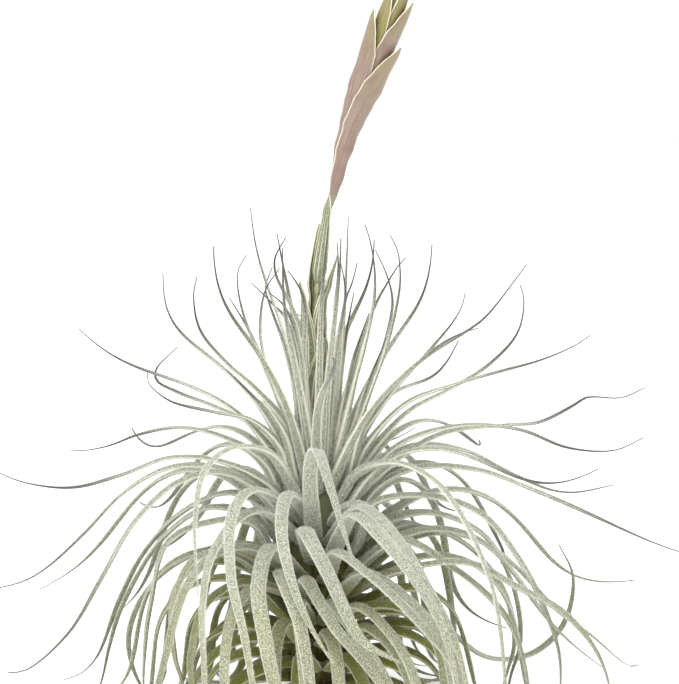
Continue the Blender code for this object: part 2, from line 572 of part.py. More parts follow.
def settle(leaf, standing):
    """The first trial of a leaf that is clear of all that stands, or the clearest one.

    It may cross its own tier's sheaths, which it is joined to, but not its own tier's blades.
    """
    best = None
    for trial in range(MOST_TRIALS):
        line = leaf.line_for(trial)
        rings = leaf_rings(line, leaf, grow=LEAF_CLEARANCE)
        whole, blade = tree_of(rings), tree_of(rings[SHEATH_RINGS:])
        crossings = sum(
            len(blade.overlap(other_blade) if owner == leaf.tier else whole.overlap(other))
            for owner, other, other_blade in standing
        )
        if best is None or crossings < best[0]:
            best = (crossings, line)
        if crossings == 0:
            break
    return best


def widest_gap(turns):
    """The middle of the widest stretch of a circle, in degrees, that holds none of the turns."""
    if not turns:
        return 0.0
    turns = sorted(t % 360.0 for t in turns)
    gaps = [(b - a, (a + b) / 2.0) for a, b in zip(turns, turns[1:] + [turns[0] + 360.0])]
    return max(gaps)[1]


Leaf = namedtuple("Leaf", "tier wide rings sides line_for")


def leaf_plan():
    """Every leaf, the measured ones first. A ruled leaf stands in the widest gap of its tier."""
    plan = []
    turns = {tier: list(SHOWN_TURNS) if tier in SHOWN_TIERS else [] for tier in range(1, TIER_COUNT + 1)}
    for tier, wide, run in FRONT_LEAVES:
        turns[tier].append(math.degrees(math.atan2(run[0][1], run[0][0])))
        line_for = partial(measured_line, tier, run)
        plan.append(Leaf(tier, wide, MEASURED_LEAF_RINGS, FRONT_LEAF_SIDES, line_for))
    for tier, degrees, run in SIDE_LEAVES:
        turns[tier].append(degrees if run[0][0] > 0 else 180.0 - degrees)
        line_for = partial(side_line, tier, degrees, run)
        plan.append(Leaf(tier, 1.0, MEASURED_LEAF_RINGS, LEAF_SIDES, line_for))
    measured = [leaf.tier for leaf in plan]
    for tier in range(TIER_COUNT, 0, -1):
        for slot in range(LEAVES_IN_TIER[tier - 1] - measured.count(tier)):
            turn = widest_gap(turns[tier]) if turns[tier] else GOLDEN_ANGLE * tier
            turns[tier].append(turn)
            line_for = partial(ruled_line, tier, turn, slot)
            plan.append(Leaf(tier, 1.0, RULED_LEAF_RINGS, LEAF_SIDES, line_for))
    return plan


def turned(name, profile, sides, collection, finish=None, closed=False):
    """A profile of (radius, height) points turned round the Z axis."""
    shape = bmesh.new()
    corners = [shape.verts.new((radius, 0.0, height)) for radius, height in profile]
    for a, b in zip(corners, corners[1:] + (corners[:1] if closed else [])):
        shape.edges.new((a, b))
    mesh = bpy.data.meshes.new(name)
    shape.to_mesh(mesh)
    shape.free()
    made = object_of(name, mesh, collection, finish)
    screw = made.modifiers.new("turn", "SCREW")
    screw.steps = screw.render_steps = sides
    screw.use_merge_vertices = True
    screw.merge_threshold = 0.00001
    screw.use_normal_calculate = True
    return made


def applied(made):
    """Applies the object's modifiers."""
    graph = bpy.context.evaluated_depsgraph_get()
    mesh = bpy.data.meshes.new_from_object(made.evaluated_get(graph))
    made.modifiers.clear()
    made.data = mesh
    return made


def join_repeats(made, repeats, solver):
    """Joins a collection of repeats to the object with one Boolean union, and removes them."""
    bpy.context.view_layer.update()
    union = made.modifiers.new("join", "BOOLEAN")
    union.operation = "UNION"
    union.operand_type = "COLLECTION"
    union.collection = repeats
    union.solver = solver
    applied(made)
    for piece in list(repeats.objects):
        bpy.data.objects.remove(piece)
    bpy.data.collections.remove(repeats)
    return made


def face_out(made):
    """Turns the faces of a closed mesh outwards."""
    shape = bmesh.new()
    shape.from_mesh(made.data)
    bmesh.ops.recalc_face_normals(shape, faces=shape.faces)
    shape.to_mesh(made.data)
    shape.free()
    return made


def build_stem(collection):
    stem = face_out(applied(turned("stem", STEM_PROFILE[::-1], STEM_SIDES, collection, STEM_FINISH)))
    scales = new_collection("dry scales")
    for ring, (height, count) in enumerate(DRY_SCALE_RINGS):
        for i in range(count):
            turn = 2.0 * math.pi * (i + 0.5 * ring) / count
            out = np.array([math.cos(turn), math.sin(turn), 0.0])
            side = np.array([-math.sin(turn), math.cos(turn), 0.0])
            rings = []
            for share, width, lean in DRY_SCALE_SECTIONS:
                centre = out * (stem_radius_at(height) + lean * MM)
                centre = centre + np.array([0.0, 0.0, height + share * DRY_SCALE_LENGTH])
                half = side * DRY_SCALE_HALF_WIDTH * width
                deep = out * DRY_SCALE_THICKNESS / 2.0
                rings.append([centre - half, centre - deep, centre + half, centre + deep])
            loft("dry scale", rings, scales)
    return join_repeats(stem, scales, "EXACT")


def collar_profile(tier):
    """The collar's section: it fits the stem with GAP to spare, and stops GAP below the next one."""
    pitches = np.diff(TIER_HEIGHTS)
    below = pitches[max(tier - 2, 0)] * COLLAR_BELOW
    above = pitches[min(tier - 1, TIER_COUNT - 2)] * (1.0 - COLLAR_BELOW) - GAP
    low, high = TIER_HEIGHTS[tier - 1] - below, TIER_HEIGHTS[tier - 1] + above
    outer = collar_radius(tier)
    flats = math.cos(math.pi / COLLAR_SIDES)
    return [
        ((stem_radius_at(low) + GAP) / flats, low),
        (outer - COLLAR_BEVEL, low),
        (outer, (low + high) / 2.0),
        (outer - COLLAR_BEVEL, high),
        ((stem_radius_at(high) + GAP) / flats, high),
    ]


def collar_rings(tier):
    """The collar's outside as rings, for the search tree."""
    turns = np.radians(np.arange(0, 360, 20))
    return [
        np.column_stack([radius * np.cos(turns), radius * np.sin(turns), np.full(len(turns), height)])
        for radius, height in collar_profile(tier)
    ]


def scape_axis():
    """The scape's axis as a dense line, with its distance run at each point."""
    places = [np.array([0.0, 0.0, STEM_TOP + GAP]), np.array([0.0, 0.0, STEM_TOP + SCAPE_UPRIGHT])]
    places += [real_place(across * MM, up * MM) for across, up in SCAPE_RUN]
    line = smooth_through(places, SCAPE_POINTS)
    run = np.concatenate([[0.0], np.cumsum(np.linalg.norm(np.diff(line, axis=0), axis=1))])
    return line, run


def on_scape(axis, along):
    """Centre on the scape's axis, and the ways to the right and towards the viewer there."""
    line, run = axis
    along = min(max(along, 0.0), run[-1])
    centre = np.array([np.interp(along, run, line[:, i]) for i in range(3)])
    ahead = np.array([np.interp(min(along + 1.5 * MM, run[-1]), run, line[:, i]) for i in range(3)])
    behind = np.array([np.interp(max(along - 1.5 * MM, 0.0), run, line[:, i]) for i in range(3)])
    tangent = unit(ahead - behind)
    toward = unit(np.array([0.0, -1.0, 0.0]) + tangent[1] * tangent)
    return centre, np.cross(toward, tangent) * -1.0, toward


def core_radius(along):
    """Radius of the scape and, above it, of the bud, at a distance along the axis."""
    scape = np.interp(along, [0.0, 0.7 * SCAPE_LENGTH], [SCAPE_RADIUS, SCAPE_NECK_RADIUS])
    share = (along - SCAPE_LENGTH) / BUD_LENGTH
    if share <= 0.0:
        return float(scape)
    swell = np.interp(share, [0.0, 0.15, 0.4, 0.75, 1.0], [0.55, 0.8, 1.0, 0.62, 0.16])
    return float(BUD_RADIUS * swell)


def all_bracts():
    rows = [(row, SCAPE_BRACT_POINTS) for row in SCAPE_BRACTS]
    return rows + [(row, SPIKE_BRACT_POINTS) for row in SPIKE_BRACTS]


def chord_fit(wrap, points):
    """How much a many-sided bract must grow for its flats to clear a round one inside it."""
    return 1.0 / math.cos(math.radians(wrap) / (points - 1))


def stack_radius(index, along):
    """Outer radius at a place on the axis of everything inside the bract with this index."""
    rows = all_bracts()
    radius = core_radius(along) * SCAPE_FIT
    for (start, length, _, wrap), points in reversed(rows[index + 1 :]):
        wrapped = (radius + GAP) * chord_fit(wrap, points) + BRACT_THICKNESS
        present = eased(along, start - BRACT_RAMP, start)
        present *= 1.0 - eased(along, start + length, start + length + BRACT_RAMP)
        radius += (wrapped - radius) * present
    return radius


def bract_spread(index, share):
    """Half angle of a bract at a share of its length: clasping below, pointed above."""
    outline = SCAPE_BRACT_OUTLINE if index < len(SCAPE_BRACTS) else SPIKE_BRACT_OUTLINE
    (_, _, _, wrap), _ = all_bracts()[index]
    return math.radians(wrap) * np.interp(share, [s for s, _ in outline], [w for _, w in outline])


def bract_rings(axis, index):
    (start, length, faces, wrap), points = all_bracts()[index]
    reach = SCAPE_BRACT_REACH if index < len(SCAPE_BRACTS) else SPIKE_BRACT_REACH
    first = math.ceil((start + 2.0 * MM) / BRACT_STATION)
    last = math.floor((start + length - 2.0 * MM) / BRACT_STATION)
    places = [start] + [i * BRACT_STATION for i in range(first, last + 1)] + [start + length]
    rings = []
    for along in places:
        share = (along - start) / length
        centre, right, toward = on_scape(axis, along)
        spread = bract_spread(index, share)
        inner = (stack_radius(index, along) + GAP) * chord_fit(wrap, points)
        inner += reach * eased(along, start + length - FREE_TIP_LENGTH, start + length)
        outer = inner + BRACT_THICKNESS
        angles = math.radians(faces) + np.linspace(-spread, spread, points)
        corners = [(angle, outer) for angle in angles]
        corners += [(angle, inner) for angle in reversed(angles[1:-1])]
        rings.append([
            centre + radius * (math.cos(angle) * right + math.sin(angle) * toward)
            for angle, radius in corners
        ])
    return rings


def tube_rings(axis, places, sides):
    rings = []
    for along in places:
        centre, right, toward = on_scape(axis, along)
        turns = 2.0 * math.pi * np.arange(sides) / sides
        radius = core_radius(along)
        rings.append([centre + radius * (math.cos(t) * right + math.sin(t) * toward) for t in turns])
    return rings


def build_inflorescence(collection):
    """The scape, its bracts and the bud. Returns their rings, which the leaves keep clear of."""
    axis = scape_axis()
    scape_places = np.linspace(0.0, SCAPE_LENGTH, SCAPE_RINGS)
    bud_places = np.linspace(SCAPE_LENGTH + GAP, SCAPE_LENGTH + GAP + BUD_LENGTH, BUD_RINGS)
    made = {
        "flower_scape": (tube_rings(axis, scape_places, SCAPE_SIDES), SCAPE_FINISH),
        "spike_bud": (tube_rings(axis, bud_places, BUD_SIDES), BUD_FINISH),
    }
    for i in range(len(SCAPE_BRACTS)):
        made[f"scape_bract_{i + 1}"] = (bract_rings(axis, i), SCAPE_BRACT_FINISH)
    for i in range(len(SPIKE_BRACTS)):
        made[f"spike_bract_{i + 1}"] = (bract_rings(axis, len(SCAPE_BRACTS) + i), SPIKE_BRACT_FINISH)
    for name, (rings, finish) in made.items():
        loft(name, rings, collection, finish)
    return [rings for rings, _ in made.values()]


def build_tiers(collection, obstacles):
    """The thirteen tiers of leaves. Each leaf is bent clear of the other tiers and of the scape."""
    nothing = tree_of([])
    standing = [(0, tree_of(rings), nothing) for rings in obstacles]
    standing += [(tier, tree_of(collar_rings(tier)), nothing) for tier in range(1, TIER_COUNT + 1)]
    repeats = {tier: new_collection(f"leaves of tier {tier}") for tier in range(1, TIER_COUNT + 1)}
    for number, leaf in enumerate(leaf_plan()):
        crossings, line = settle(leaf, standing)
        if crossings:
            raise ValueError(f"leaf {number}, in tier {leaf.tier}, crosses another solid in every trial")
        rings = leaf_rings(line, leaf)
        standing.append((leaf.tier, tree_of(rings), tree_of(rings[SHEATH_RINGS:])))
        loft("leaf", rings, repeats[leaf.tier])
    for tier in range(1, TIER_COUNT + 1):
        name = f"leaf_tier_{tier:02d}"
        collar = turned(name, collar_profile(tier), COLLAR_SIDES, collection, LEAF_FINISH, closed=True)
        # Sheaths that nearly coincide leave slivers in an exact union, and none in this one.
        join_repeats(face_out(applied(collar)), repeats[tier], "MANIFOLD")


def main():
    clear_scene()
    plant = new_collection("tillandsia tectorum")
    build_stem(plant)
    obstacles = build_inflorescence(plant)
    build_tiers(plant, obstacles)


if __name__ == "__main__":
    main()
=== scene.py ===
import math
from collections import namedtuple
from functools import partial

import bmesh
import bpy
import numpy as np
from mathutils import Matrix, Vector, noise
from mathutils.bvhtree import BVHTree


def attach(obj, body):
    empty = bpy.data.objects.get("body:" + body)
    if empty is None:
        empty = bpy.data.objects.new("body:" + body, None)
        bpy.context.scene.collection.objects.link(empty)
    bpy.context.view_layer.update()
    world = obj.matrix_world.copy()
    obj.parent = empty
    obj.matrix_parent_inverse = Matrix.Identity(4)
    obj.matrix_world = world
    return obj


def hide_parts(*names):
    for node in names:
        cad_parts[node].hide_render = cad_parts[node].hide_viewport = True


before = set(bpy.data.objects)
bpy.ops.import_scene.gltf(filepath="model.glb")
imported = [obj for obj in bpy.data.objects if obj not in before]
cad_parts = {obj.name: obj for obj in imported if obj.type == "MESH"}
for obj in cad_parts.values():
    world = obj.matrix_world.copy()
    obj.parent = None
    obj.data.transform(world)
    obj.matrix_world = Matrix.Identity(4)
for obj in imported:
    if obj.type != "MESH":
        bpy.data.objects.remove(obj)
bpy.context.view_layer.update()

# The stem: the short woody stub that carries every leaf. It is dead and fibrous, and its bare foot keeps
# the dry, papery remains of fallen leaves. The plant stands on the cut foot.
MM = 0.001
SEED = 7
GAP = 0.3 * MM
STEM_TOP = 120.0 * MM
STEM_RADII = [5.0, 6.0, 6.5, 5.4, 5.0, 5.0, 3.4, 2.2]
STEM_HEIGHTS = [0.0, 0.0, 1.5, 5.0, 14.0, 94.0, 109.0, 120.0]
STEM_SIDES = 40
STEM_RINGS = 60
STEM_RING_SPACING = 1.6
FIBRE_DEPTH = 0.35 * MM
FIBRES_PER_METRE = 900.0
WOOD_GRAIN = (1.0, 1.0, 0.12)
WOOD_STREAKS_PER_METRE = 420.0
WOOD_STREAK_DEPTH = 0.4 * MM
DRY_SCALE_RINGS = [(3.0 * MM, 5), (8.5 * MM, 6)]
DRY_SCALE_LENGTH = 9.5 * MM
DRY_SCALE_HALF_WIDTH = 2.7 * MM
DRY_SCALE_THICKNESS = 0.6 * MM
DRY_SCALE_SINK = 0.5 * MM
DRY_SCALE_LEAN = 1.1 * MM
DRY_SCALE_FLARE = 1.6 * MM
DRY_SCALE_CUP = 0.35
DRY_SCALE_PUFF = 0.8
DRY_SCALE_NARROWING = 0.25
DRY_SCALE_TIP = 0.12
DRY_SCALE_STEPS = 9
DRY_SCALE_CORNERS = 12
PAPER_FIBRES_PER_METRE = 600.0
PAPER_FIBRE_DEPTH = 0.2 * MM
CHANNEL_CURVE = 1.7
WOOD_DARK = (70, 52, 34)
WOOD_PALE = (150, 122, 84)
PAPER_PALE = (196, 176, 138)


def tint(red, green, blue):
    """A colour in the renderer's linear light, from the usual 0 to 255."""
    share = np.array([red, green, blue]) / 255.0
    linear = np.where(share <= 0.04045, share / 12.92, ((share + 0.055) / 1.055) ** 2.4)
    return (*[float(c) for c in linear], 1.0)


def both_ways(operation):
    """A Python operator on a Wire, and its reflected form. Each adds a Math node."""
    return (
        lambda wire, other: wire.maths(operation, wire, other),
        lambda wire, other: wire.maths(operation, other, wire),
    )


class Wire:
    """A value that changes over a surface. Python's operators on it add Math nodes to its material."""

    def __init__(self, socket):
        self.socket = socket

    def node(self, kind, sockets, output=0, **settings):
        """The output of a new node, after its settings and then its sockets are set."""
        tree = self.socket.id_data
        made = tree.nodes.new(kind)
        for name, value in settings.items():
            setattr(made, name, value)
        for name, value in sockets.items():
            if isinstance(value, Wire):
                tree.links.new(value.socket, made.inputs[name])
            else:
                made.inputs[name].default_value = value
        return Wire(made.outputs[output])

    def maths(self, operation, first, second=0.0):
        return self.node("ShaderNodeMath", {0: first, 1: second}, operation=operation)

    __add__, __radd__ = both_ways("ADD")
    __sub__, __rsub__ = both_ways("SUBTRACT")
    __mul__, __rmul__ = both_ways("MULTIPLY")
    __pow__, __rpow__ = both_ways("POWER")

    def __abs__(self):
        return self.maths("ABSOLUTE", self)

    def step(self, low, high):
        """0 below low and 1 above high, with a smooth rise between."""
        sockets = {"Value": self, "From Min": low, "From Max": high}
        return self.node("ShaderNodeMapRange", sockets, interpolation_type="SMOOTHSTEP")

    def mixed(self, low, high):
        """The colour `low` where this value is 0, and `high` where it is 1."""
        return self.node("ShaderNodeMix", {"Factor": self, 6: low, 7: high}, output=2, data_type="RGBA")

    def noise(self, scale, detail=2.0, stretch=(1.0, 1.0, 1.0)):
        """Noise with this many waves a metre, where this wire is a place."""
        place = self.node("ShaderNodeMapping", {"Vector": self, "Scale": stretch})
        return self.node("ShaderNodeTexNoise", {"Vector": place, "Scale": scale, "Detail": detail})

    def feed(self, name):
        """Feeds this value to a socket of the material's own shader."""
        tree = self.socket.id_data
        tree.links.new(self.socket, tree.nodes["Principled BSDF"].inputs[name])


def finish(name, **constants):
    """A material whose Principled shader has these constants, and its Object coordinates as a Wire."""
    made = bpy.data.materials.new(name)
    made.use_nodes = True
    shader = made.node_tree.nodes["Principled BSDF"]
    for socket, value in constants.items():
        shader.inputs[socket.replace("_", " ")].default_value = value
    return made, Wire(made.node_tree.nodes.new("ShaderNodeTexCoord").outputs["Object"])


def bumped(place, height, distance):
    """Raises the surface by `height`, 0 to 1, over this distance in metres."""
    sockets = {"Height": height, "Distance": distance, "Strength": 1.0}
    place.node("ShaderNodeBump", sockets).feed("Normal")


def marks_of(place, *names):
    """Values that the mesh carries at each corner."""
    return [place.node("ShaderNodeAttribute", {}, output=2, attribute_name=name) for name in names]


def unit(vectors):
    """A vector, or rows of them, at length 1."""
    return vectors / np.linalg.norm(vectors, axis=-1, keepdims=True)


def eased(value, low, high):
    """0 below low, 1 above high, with a smooth step between."""
    share = np.clip((value - low) / (high - low), 0.0, 1.0)
    return share * share * (3.0 - 2.0 * share)


def turns_of(sides):
    """Angles evenly spaced round a circle."""
    return 2.0 * np.pi * np.arange(sides) / sides


def stem_radius_at(height):
    return float(np.interp(height, np.array(STEM_HEIGHTS[1:]) * MM, np.array(STEM_RADII[1:]) * MM))


MARKS = ("across", "along", "tone", "age", "edge")


def new_form():
    """A bmesh whose corners carry the marks that the materials read."""
    shape = bmesh.new()
    for name in MARKS:
        shape.verts.layers.float.new(name)
    return shape


def loft(shape, rings, marks):
    """Bridges rings of equally many corners into a closed form. marks gives each corner its values."""
    layers = {name: shape.verts.layers.float[name] for name in marks}
    corners = [[shape.verts.new(corner) for corner in ring] for ring in rings]
    for name, values in marks.items():
        values = np.broadcast_to(values, (len(rings), len(rings[0])))
        for ring, row in zip(corners, values):
            for corner, value in zip(ring, row):
                corner[layers[name]] = value
    loops = [[shape.edges.new(pair) for pair in zip(ring, ring[1:] + ring[:1])] for ring in corners]
    for lower, upper in zip(loops, loops[1:]):
        bmesh.ops.bridge_loops(shape, edges=lower + upper)
    bmesh.ops.holes_fill(shape, edges=loops[0] + loops[-1], sides=0)


def placed(name, data):
    """A new object of the scene that shows this mesh, lamp or lens."""
    made = bpy.data.objects.new(name, data)
    bpy.context.scene.collection.objects.link(made)
    return made


def add_piece(name, mesh, material, slot, *nodes):
    """A piece of the plant, which stands for these solids."""
    mesh.materials.append(material)
    piece = placed(name, mesh)
    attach(piece, "root")
    if nodes:
        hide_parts(*nodes)


def shown(name, shape, material, slot, *nodes):
    """Makes the form a smooth piece of the plant that stands for these solids."""
    bmesh.ops.recalc_face_normals(shape, faces=shape.faces)
    mesh = bpy.data.meshes.new(name)
    shape.to_mesh(mesh)
    shape.free()
    mesh.shade_smooth()
    add_piece(name, mesh, material, slot, *nodes)


def round_rings(profile, sides):
    """Level rings round the stem's axis, one for each radius and height of a profile."""
    turns = turns_of(sides)
    return [
        np.column_stack([radius * np.cos(turns), radius * np.sin(turns), np.full(sides, height)])
        for radius, height in profile
    ]


def blade_ring(point, side, normal, half_width, thickness, cup, puff, corners):
    """A closed section with a keel below. Its edges rise by `cup`, or hang where that is below 0.

    Its back is puffed up where `puff` is above 0, and hollow where it is below.
    """
    below = np.linspace(-1.0, 1.0, corners // 2 + 1)
    above = below[::-1][1:-1]
    across = np.concatenate([below, above])
    curl = cup * np.abs(across) ** CHANNEL_CURVE
    keel = curl[: len(below)] - thickness / 2.0 * (1.0 - np.abs(below) ** CHANNEL_CURVE)
    back = curl[len(below) :] + puff * thickness / 2.0 * np.sqrt(1.0 - above**2)
    heights = np.concatenate([keel, back])
    return point + np.outer(across * half_width, side) + np.outer(heights, normal), across


wood, place = finish("dead_wood", Roughness=0.9)
streaks = place.noise(WOOD_STREAKS_PER_METRE, 4.0, WOOD_GRAIN)
streaks.step(0.35, 0.68).mixed(tint(*WOOD_DARK), tint(*WOOD_PALE)).feed("Base Color")
bumped(place, streaks, WOOD_STREAK_DEPTH)

stem = new_form()
heights = np.linspace(0.0, 1.0, STEM_RINGS) ** STEM_RING_SPACING * STEM_TOP
rings = round_rings([(stem_radius_at(height), height) for height in heights], STEM_SIDES)
for ring, height in zip(rings, heights):
    for corner in ring:
        rough = noise.noise(Vector(corner * WOOD_GRAIN * FIBRES_PER_METRE))
        corner[:2] *= 1.0 + (rough - 0.4) * FIBRE_DEPTH / stem_radius_at(height)
loft(stem, rings, {})
shown("woody_stem", stem, wood, "stem", "stem")

paper, place = finish("dry_scale_paper", Roughness=0.85)
streaks = place.noise(PAPER_FIBRES_PER_METRE, 3.0, (1.0, 1.0, 0.2))
streaks.step(0.3, 0.7).mixed(tint(*WOOD_PALE), tint(*PAPER_PALE)).feed("Base Color")
bumped(place, streaks, PAPER_FIBRE_DEPTH)

scales = new_form()
for level, (height, count) in enumerate(DRY_SCALE_RINGS):
    for i in range(count):
        turn = 2.0 * math.pi * (i + 0.5 * level) / count
        out = np.array([math.cos(turn), math.sin(turn), 0.0])
        side = np.array([-math.sin(turn), math.cos(turn), 0.0])
        rings = []
        for share in np.linspace(0.0, 1.0, DRY_SCALE_STEPS):
            lean = DRY_SCALE_LEAN * share + DRY_SCALE_FLARE * share**3 - DRY_SCALE_SINK
            up = np.array([0.0, 0.0, height + share * DRY_SCALE_LENGTH])
            half = DRY_SCALE_HALF_WIDTH * (1.0 - DRY_SCALE_NARROWING * share)
            half *= max(1.0 - share**3, DRY_SCALE_TIP)
            thickness = DRY_SCALE_THICKNESS * (1.2 - share)
            centre = out * (stem_radius_at(height) + lean) + up
            section = (thickness, DRY_SCALE_CUP * half, DRY_SCALE_PUFF, DRY_SCALE_CORNERS)
            rings.append(blade_ring(centre, side, -out, half, *section)[0])
        loft(scales, rings, {})
shown("dry_scales", scales, paper, "stem")

# The flower scape: a slender, soft green stalk that rises from the heart of the rosette and leans to the
# right. It carries on into the flower spike, whose tip is a closed bud of young yellow-green bracts.
VIEW_DISTANCE = 600.0 * MM
VIEW_TILT = math.radians(8.0)
VIEW_AIM = (8.6 * MM, 163.2 * MM)
SCAPE_RUN = [
    (-2, 142), (-1.6, 162), (-0.6, 182), (1.8, 202), (5.2, 222),
    (9.8, 242), (15, 258), (20.6, 272), (26, 286), (32.2, 302), (37, 314), (41, 326),
]
SCAPE_POINTS = 240
SCAPE_STEP = 1.5 * MM
BUD_OUTLINE = [(0.0, 0.55), (0.15, 0.8), (0.4, 1.0), (0.75, 0.62), (1.0, 0.16)]
SCAPE_UPRIGHT = 4.0 * MM
SCAPE_RADIUS = 1.9 * MM
SCAPE_NECK_RADIUS = 1.2 * MM
SCAPE_LENGTH = 155.0 * MM
SCAPE_FIT = 1.03
BUD_START = SCAPE_LENGTH + GAP
BUD_LENGTH = 52.0 * MM
BUD_RADIUS = 2.3 * MM
TUBE_SIDES = 20
FINE_SCAPE_RINGS = 90
FINE_BUD_RINGS = 50
FLECKS_PER_METRE = 900.0
FLECK_DEPTH = 0.1 * MM
BUD_VEINS_PER_METRE = 700.0
VEIN_DEPTH = 0.15 * MM
SCAPE_PALE = (186, 190, 158)
SCAPE_GREEN = (128, 134, 84)
BUD_GREEN = (120, 122, 38)
BUD_YELLOW = (166, 160, 78)


def real_place(across, up, toward=0.0):
    """The real place of a point read off the front view, in metres, at `toward` in front of the stem."""
    aim_across, aim_up = VIEW_AIM
    seen_up = up - aim_up
    cos_tilt, sin_tilt = math.cos(VIEW_TILT), math.sin(VIEW_TILT)
    height = seen_up * (VIEW_DISTANCE - toward * cos_tilt) + VIEW_DISTANCE * toward * sin_tilt
    height /= VIEW_DISTANCE * cos_tilt + seen_up * sin_tilt
    away = -toward * cos_tilt - height * sin_tilt
    side = (across - aim_across) * (VIEW_DISTANCE + away) / VIEW_DISTANCE
    return np.array([side + aim_across, -toward, height + aim_up])


def run_of(points):
    """The distance run along a polyline at each of its points."""
    return np.concatenate([[0.0], np.cumsum(np.linalg.norm(np.diff(points, axis=0), axis=1))])


def at_run(places, run, points):
    """The places at these distances along a polyline."""
    return np.column_stack([np.interp(places, run, points[:, i]) for i in range(3)])


def smooth_through(points, count):
    """`count` points evenly spaced along a centripetal Catmull-Rom curve through `points`."""
    points = np.array(points, float)
    ends = np.vstack([2 * points[0] - points[1], points, 2 * points[-1] - points[-2]])
    knots = np.concatenate([[0.0], np.cumsum(np.sqrt(np.linalg.norm(np.diff(ends, axis=0), axis=1)))])
    fine = []
    for i in range(1, len(ends) - 2):
        t0, t1, t2, t3 = knots[i - 1 : i + 3]
        p0, p1, p2, p3 = ends[i - 1 : i + 3]
        t = np.linspace(t1, t2, 16, endpoint=False)[:, None]
        a1 = (t1 - t) / (t1 - t0) * p0 + (t - t0) / (t1 - t0) * p1
        a2 = (t2 - t) / (t2 - t1) * p1 + (t - t1) / (t2 - t1) * p2
        a3 = (t3 - t) / (t3 - t2) * p2 + (t - t2) / (t3 - t2) * p3
        b1 = (t2 - t) / (t2 - t0) * a1 + (t - t0) / (t2 - t0) * a2
        b2 = (t3 - t) / (t3 - t1) * a2 + (t - t1) / (t3 - t1) * a3
        fine.append((t2 - t) / (t2 - t1) * b1 + (t - t1) / (t2 - t1) * b2)
    fine = np.vstack(fine + [points[-1:]])
    run = run_of(fine)
    return at_run(np.linspace(0.0, run[-1], count), run, fine)


scape_line = [np.array([0.0, 0.0, STEM_TOP + GAP]), np.array([0.0, 0.0, STEM_TOP + SCAPE_UPRIGHT])]
scape_line += [real_place(across * MM, up * MM) for across, up in SCAPE_RUN]
scape_line = smooth_through(scape_line, SCAPE_POINTS)
scape_run = run_of(scape_line)


def on_scape(along):
    """Centre on the scape's axis, and the ways to the right and towards the viewer there."""
    along = min(max(along, 0.0), scape_run[-1])
    near = np.clip([along, along + SCAPE_STEP, along - SCAPE_STEP], 0.0, scape_run[-1])
    centre, ahead, behind = at_run(near, scape_run, scape_line)
    tangent = unit(ahead - behind)
    toward = unit(np.array([0.0, -1.0, 0.0]) + tangent[1] * tangent)
    return centre, np.cross(tangent, toward), toward


def core_radius(along):
    """Radius of the scape and, above it, of the bud, at a distance along the axis."""
    scape = np.interp(along, [0.0, 0.7 * SCAPE_LENGTH], [SCAPE_RADIUS, SCAPE_NECK_RADIUS])
    share = (along - SCAPE_LENGTH) / BUD_LENGTH
    if share <= 0.0:
        return float(scape)
    return float(BUD_RADIUS * np.interp(share, *zip(*BUD_OUTLINE)))


def around_scape(along, angles, radii):
    """Points round the scape's axis at these angles, in radians from the right towards the viewer."""
    centre, right, toward = on_scape(along)
    return centre + np.outer(radii * np.cos(angles), right) + np.outer(radii * np.sin(angles), toward)


def tube_rings(places, sides):
    return [around_scape(along, turns_of(sides), core_radius(along) * np.ones(sides)) for along in places]


stalk, place = finish("scape_skin", Roughness=0.6)
flecks = place.noise(FLECKS_PER_METRE, 3.0, (1.0, 1.0, 0.25))
flecks.step(0.4, 0.62).mixed(tint(*SCAPE_GREEN), tint(*SCAPE_PALE)).feed("Base Color")
bumped(place, flecks, FLECK_DEPTH)

scape = new_form()
loft(scape, tube_rings(np.linspace(0.0, SCAPE_LENGTH, FINE_SCAPE_RINGS), TUBE_SIDES), {})
shown("green_scape", scape, stalk, "scape", "flower_scape")

bud_skin, place = finish("bud_skin", Roughness=0.45)
along = marks_of(place, "along")[0]
veins = place.noise(BUD_VEINS_PER_METRE, 2.0, (1.0, 1.0, 0.08))
colour = (along + 0.35 * (veins - 0.5)).step(0.2, 0.95)
colour.mixed(tint(*BUD_GREEN), tint(*BUD_YELLOW)).feed("Base Color")
bumped(place, veins, VEIN_DEPTH)

bud = new_form()
bud_places = np.linspace(BUD_START, BUD_START + BUD_LENGTH, FINE_BUD_RINGS)
loft(bud, tube_rings(bud_places, TUBE_SIDES), {"along": np.linspace(0.0, 1.0, FINE_BUD_RINGS)[:, None]})
shown("spike_bud_tip", bud, bud_skin, "bud", "spike_bud")

# The bracts: reduced leaves that clasp the scape, silver and green, and above them the broad pink and
# olive bracts of the spike. Each is a thin sheath with a wavy, papery cream margin. It wraps the ones
# above it, and its foot grips the stalk.
BRACT_THICKNESS = 0.6 * MM
BRACT_STATION = 8.0 * MM
BRACT_RAMP = 7.0 * MM
SCAPE_BRACT_OUTLINE = [(0.0, 0.97), (0.15, 1.0), (0.4, 0.85), (0.65, 0.55), (0.85, 0.24), (1.0, 0.06)]
SPIKE_BRACT_OUTLINE = [(0.0, 0.97), (0.15, 1.0), (0.5, 0.92), (0.75, 0.68), (0.9, 0.38), (1.0, 0.05)]
SCAPE_BRACT_POINTS = 6
SPIKE_BRACT_POINTS = 8
FREE_TIP_LENGTH = 12.0 * MM
SCAPE_BRACT_REACH = 0.8 * MM
SPIKE_BRACT_REACH = 0.3 * MM
FINE_BRACT_STEPS = 56
FINE_BRACT_POINTS = 26
MARGIN_WIDTH = 0.5 * MM
NERVES = 5
NERVE_DEPTH = 0.2 * MM
BRACT_FLECKS_PER_METRE = 1500.0
BLUSH_PATCHES_PER_METRE = 130.0
FULL_SCAPE_BRACT = 1.25
NECK = (112.0 * MM, 142.0 * MM)
NECK_FULLNESS = 0.12
BRACT_WAVE = 3.5 * MM
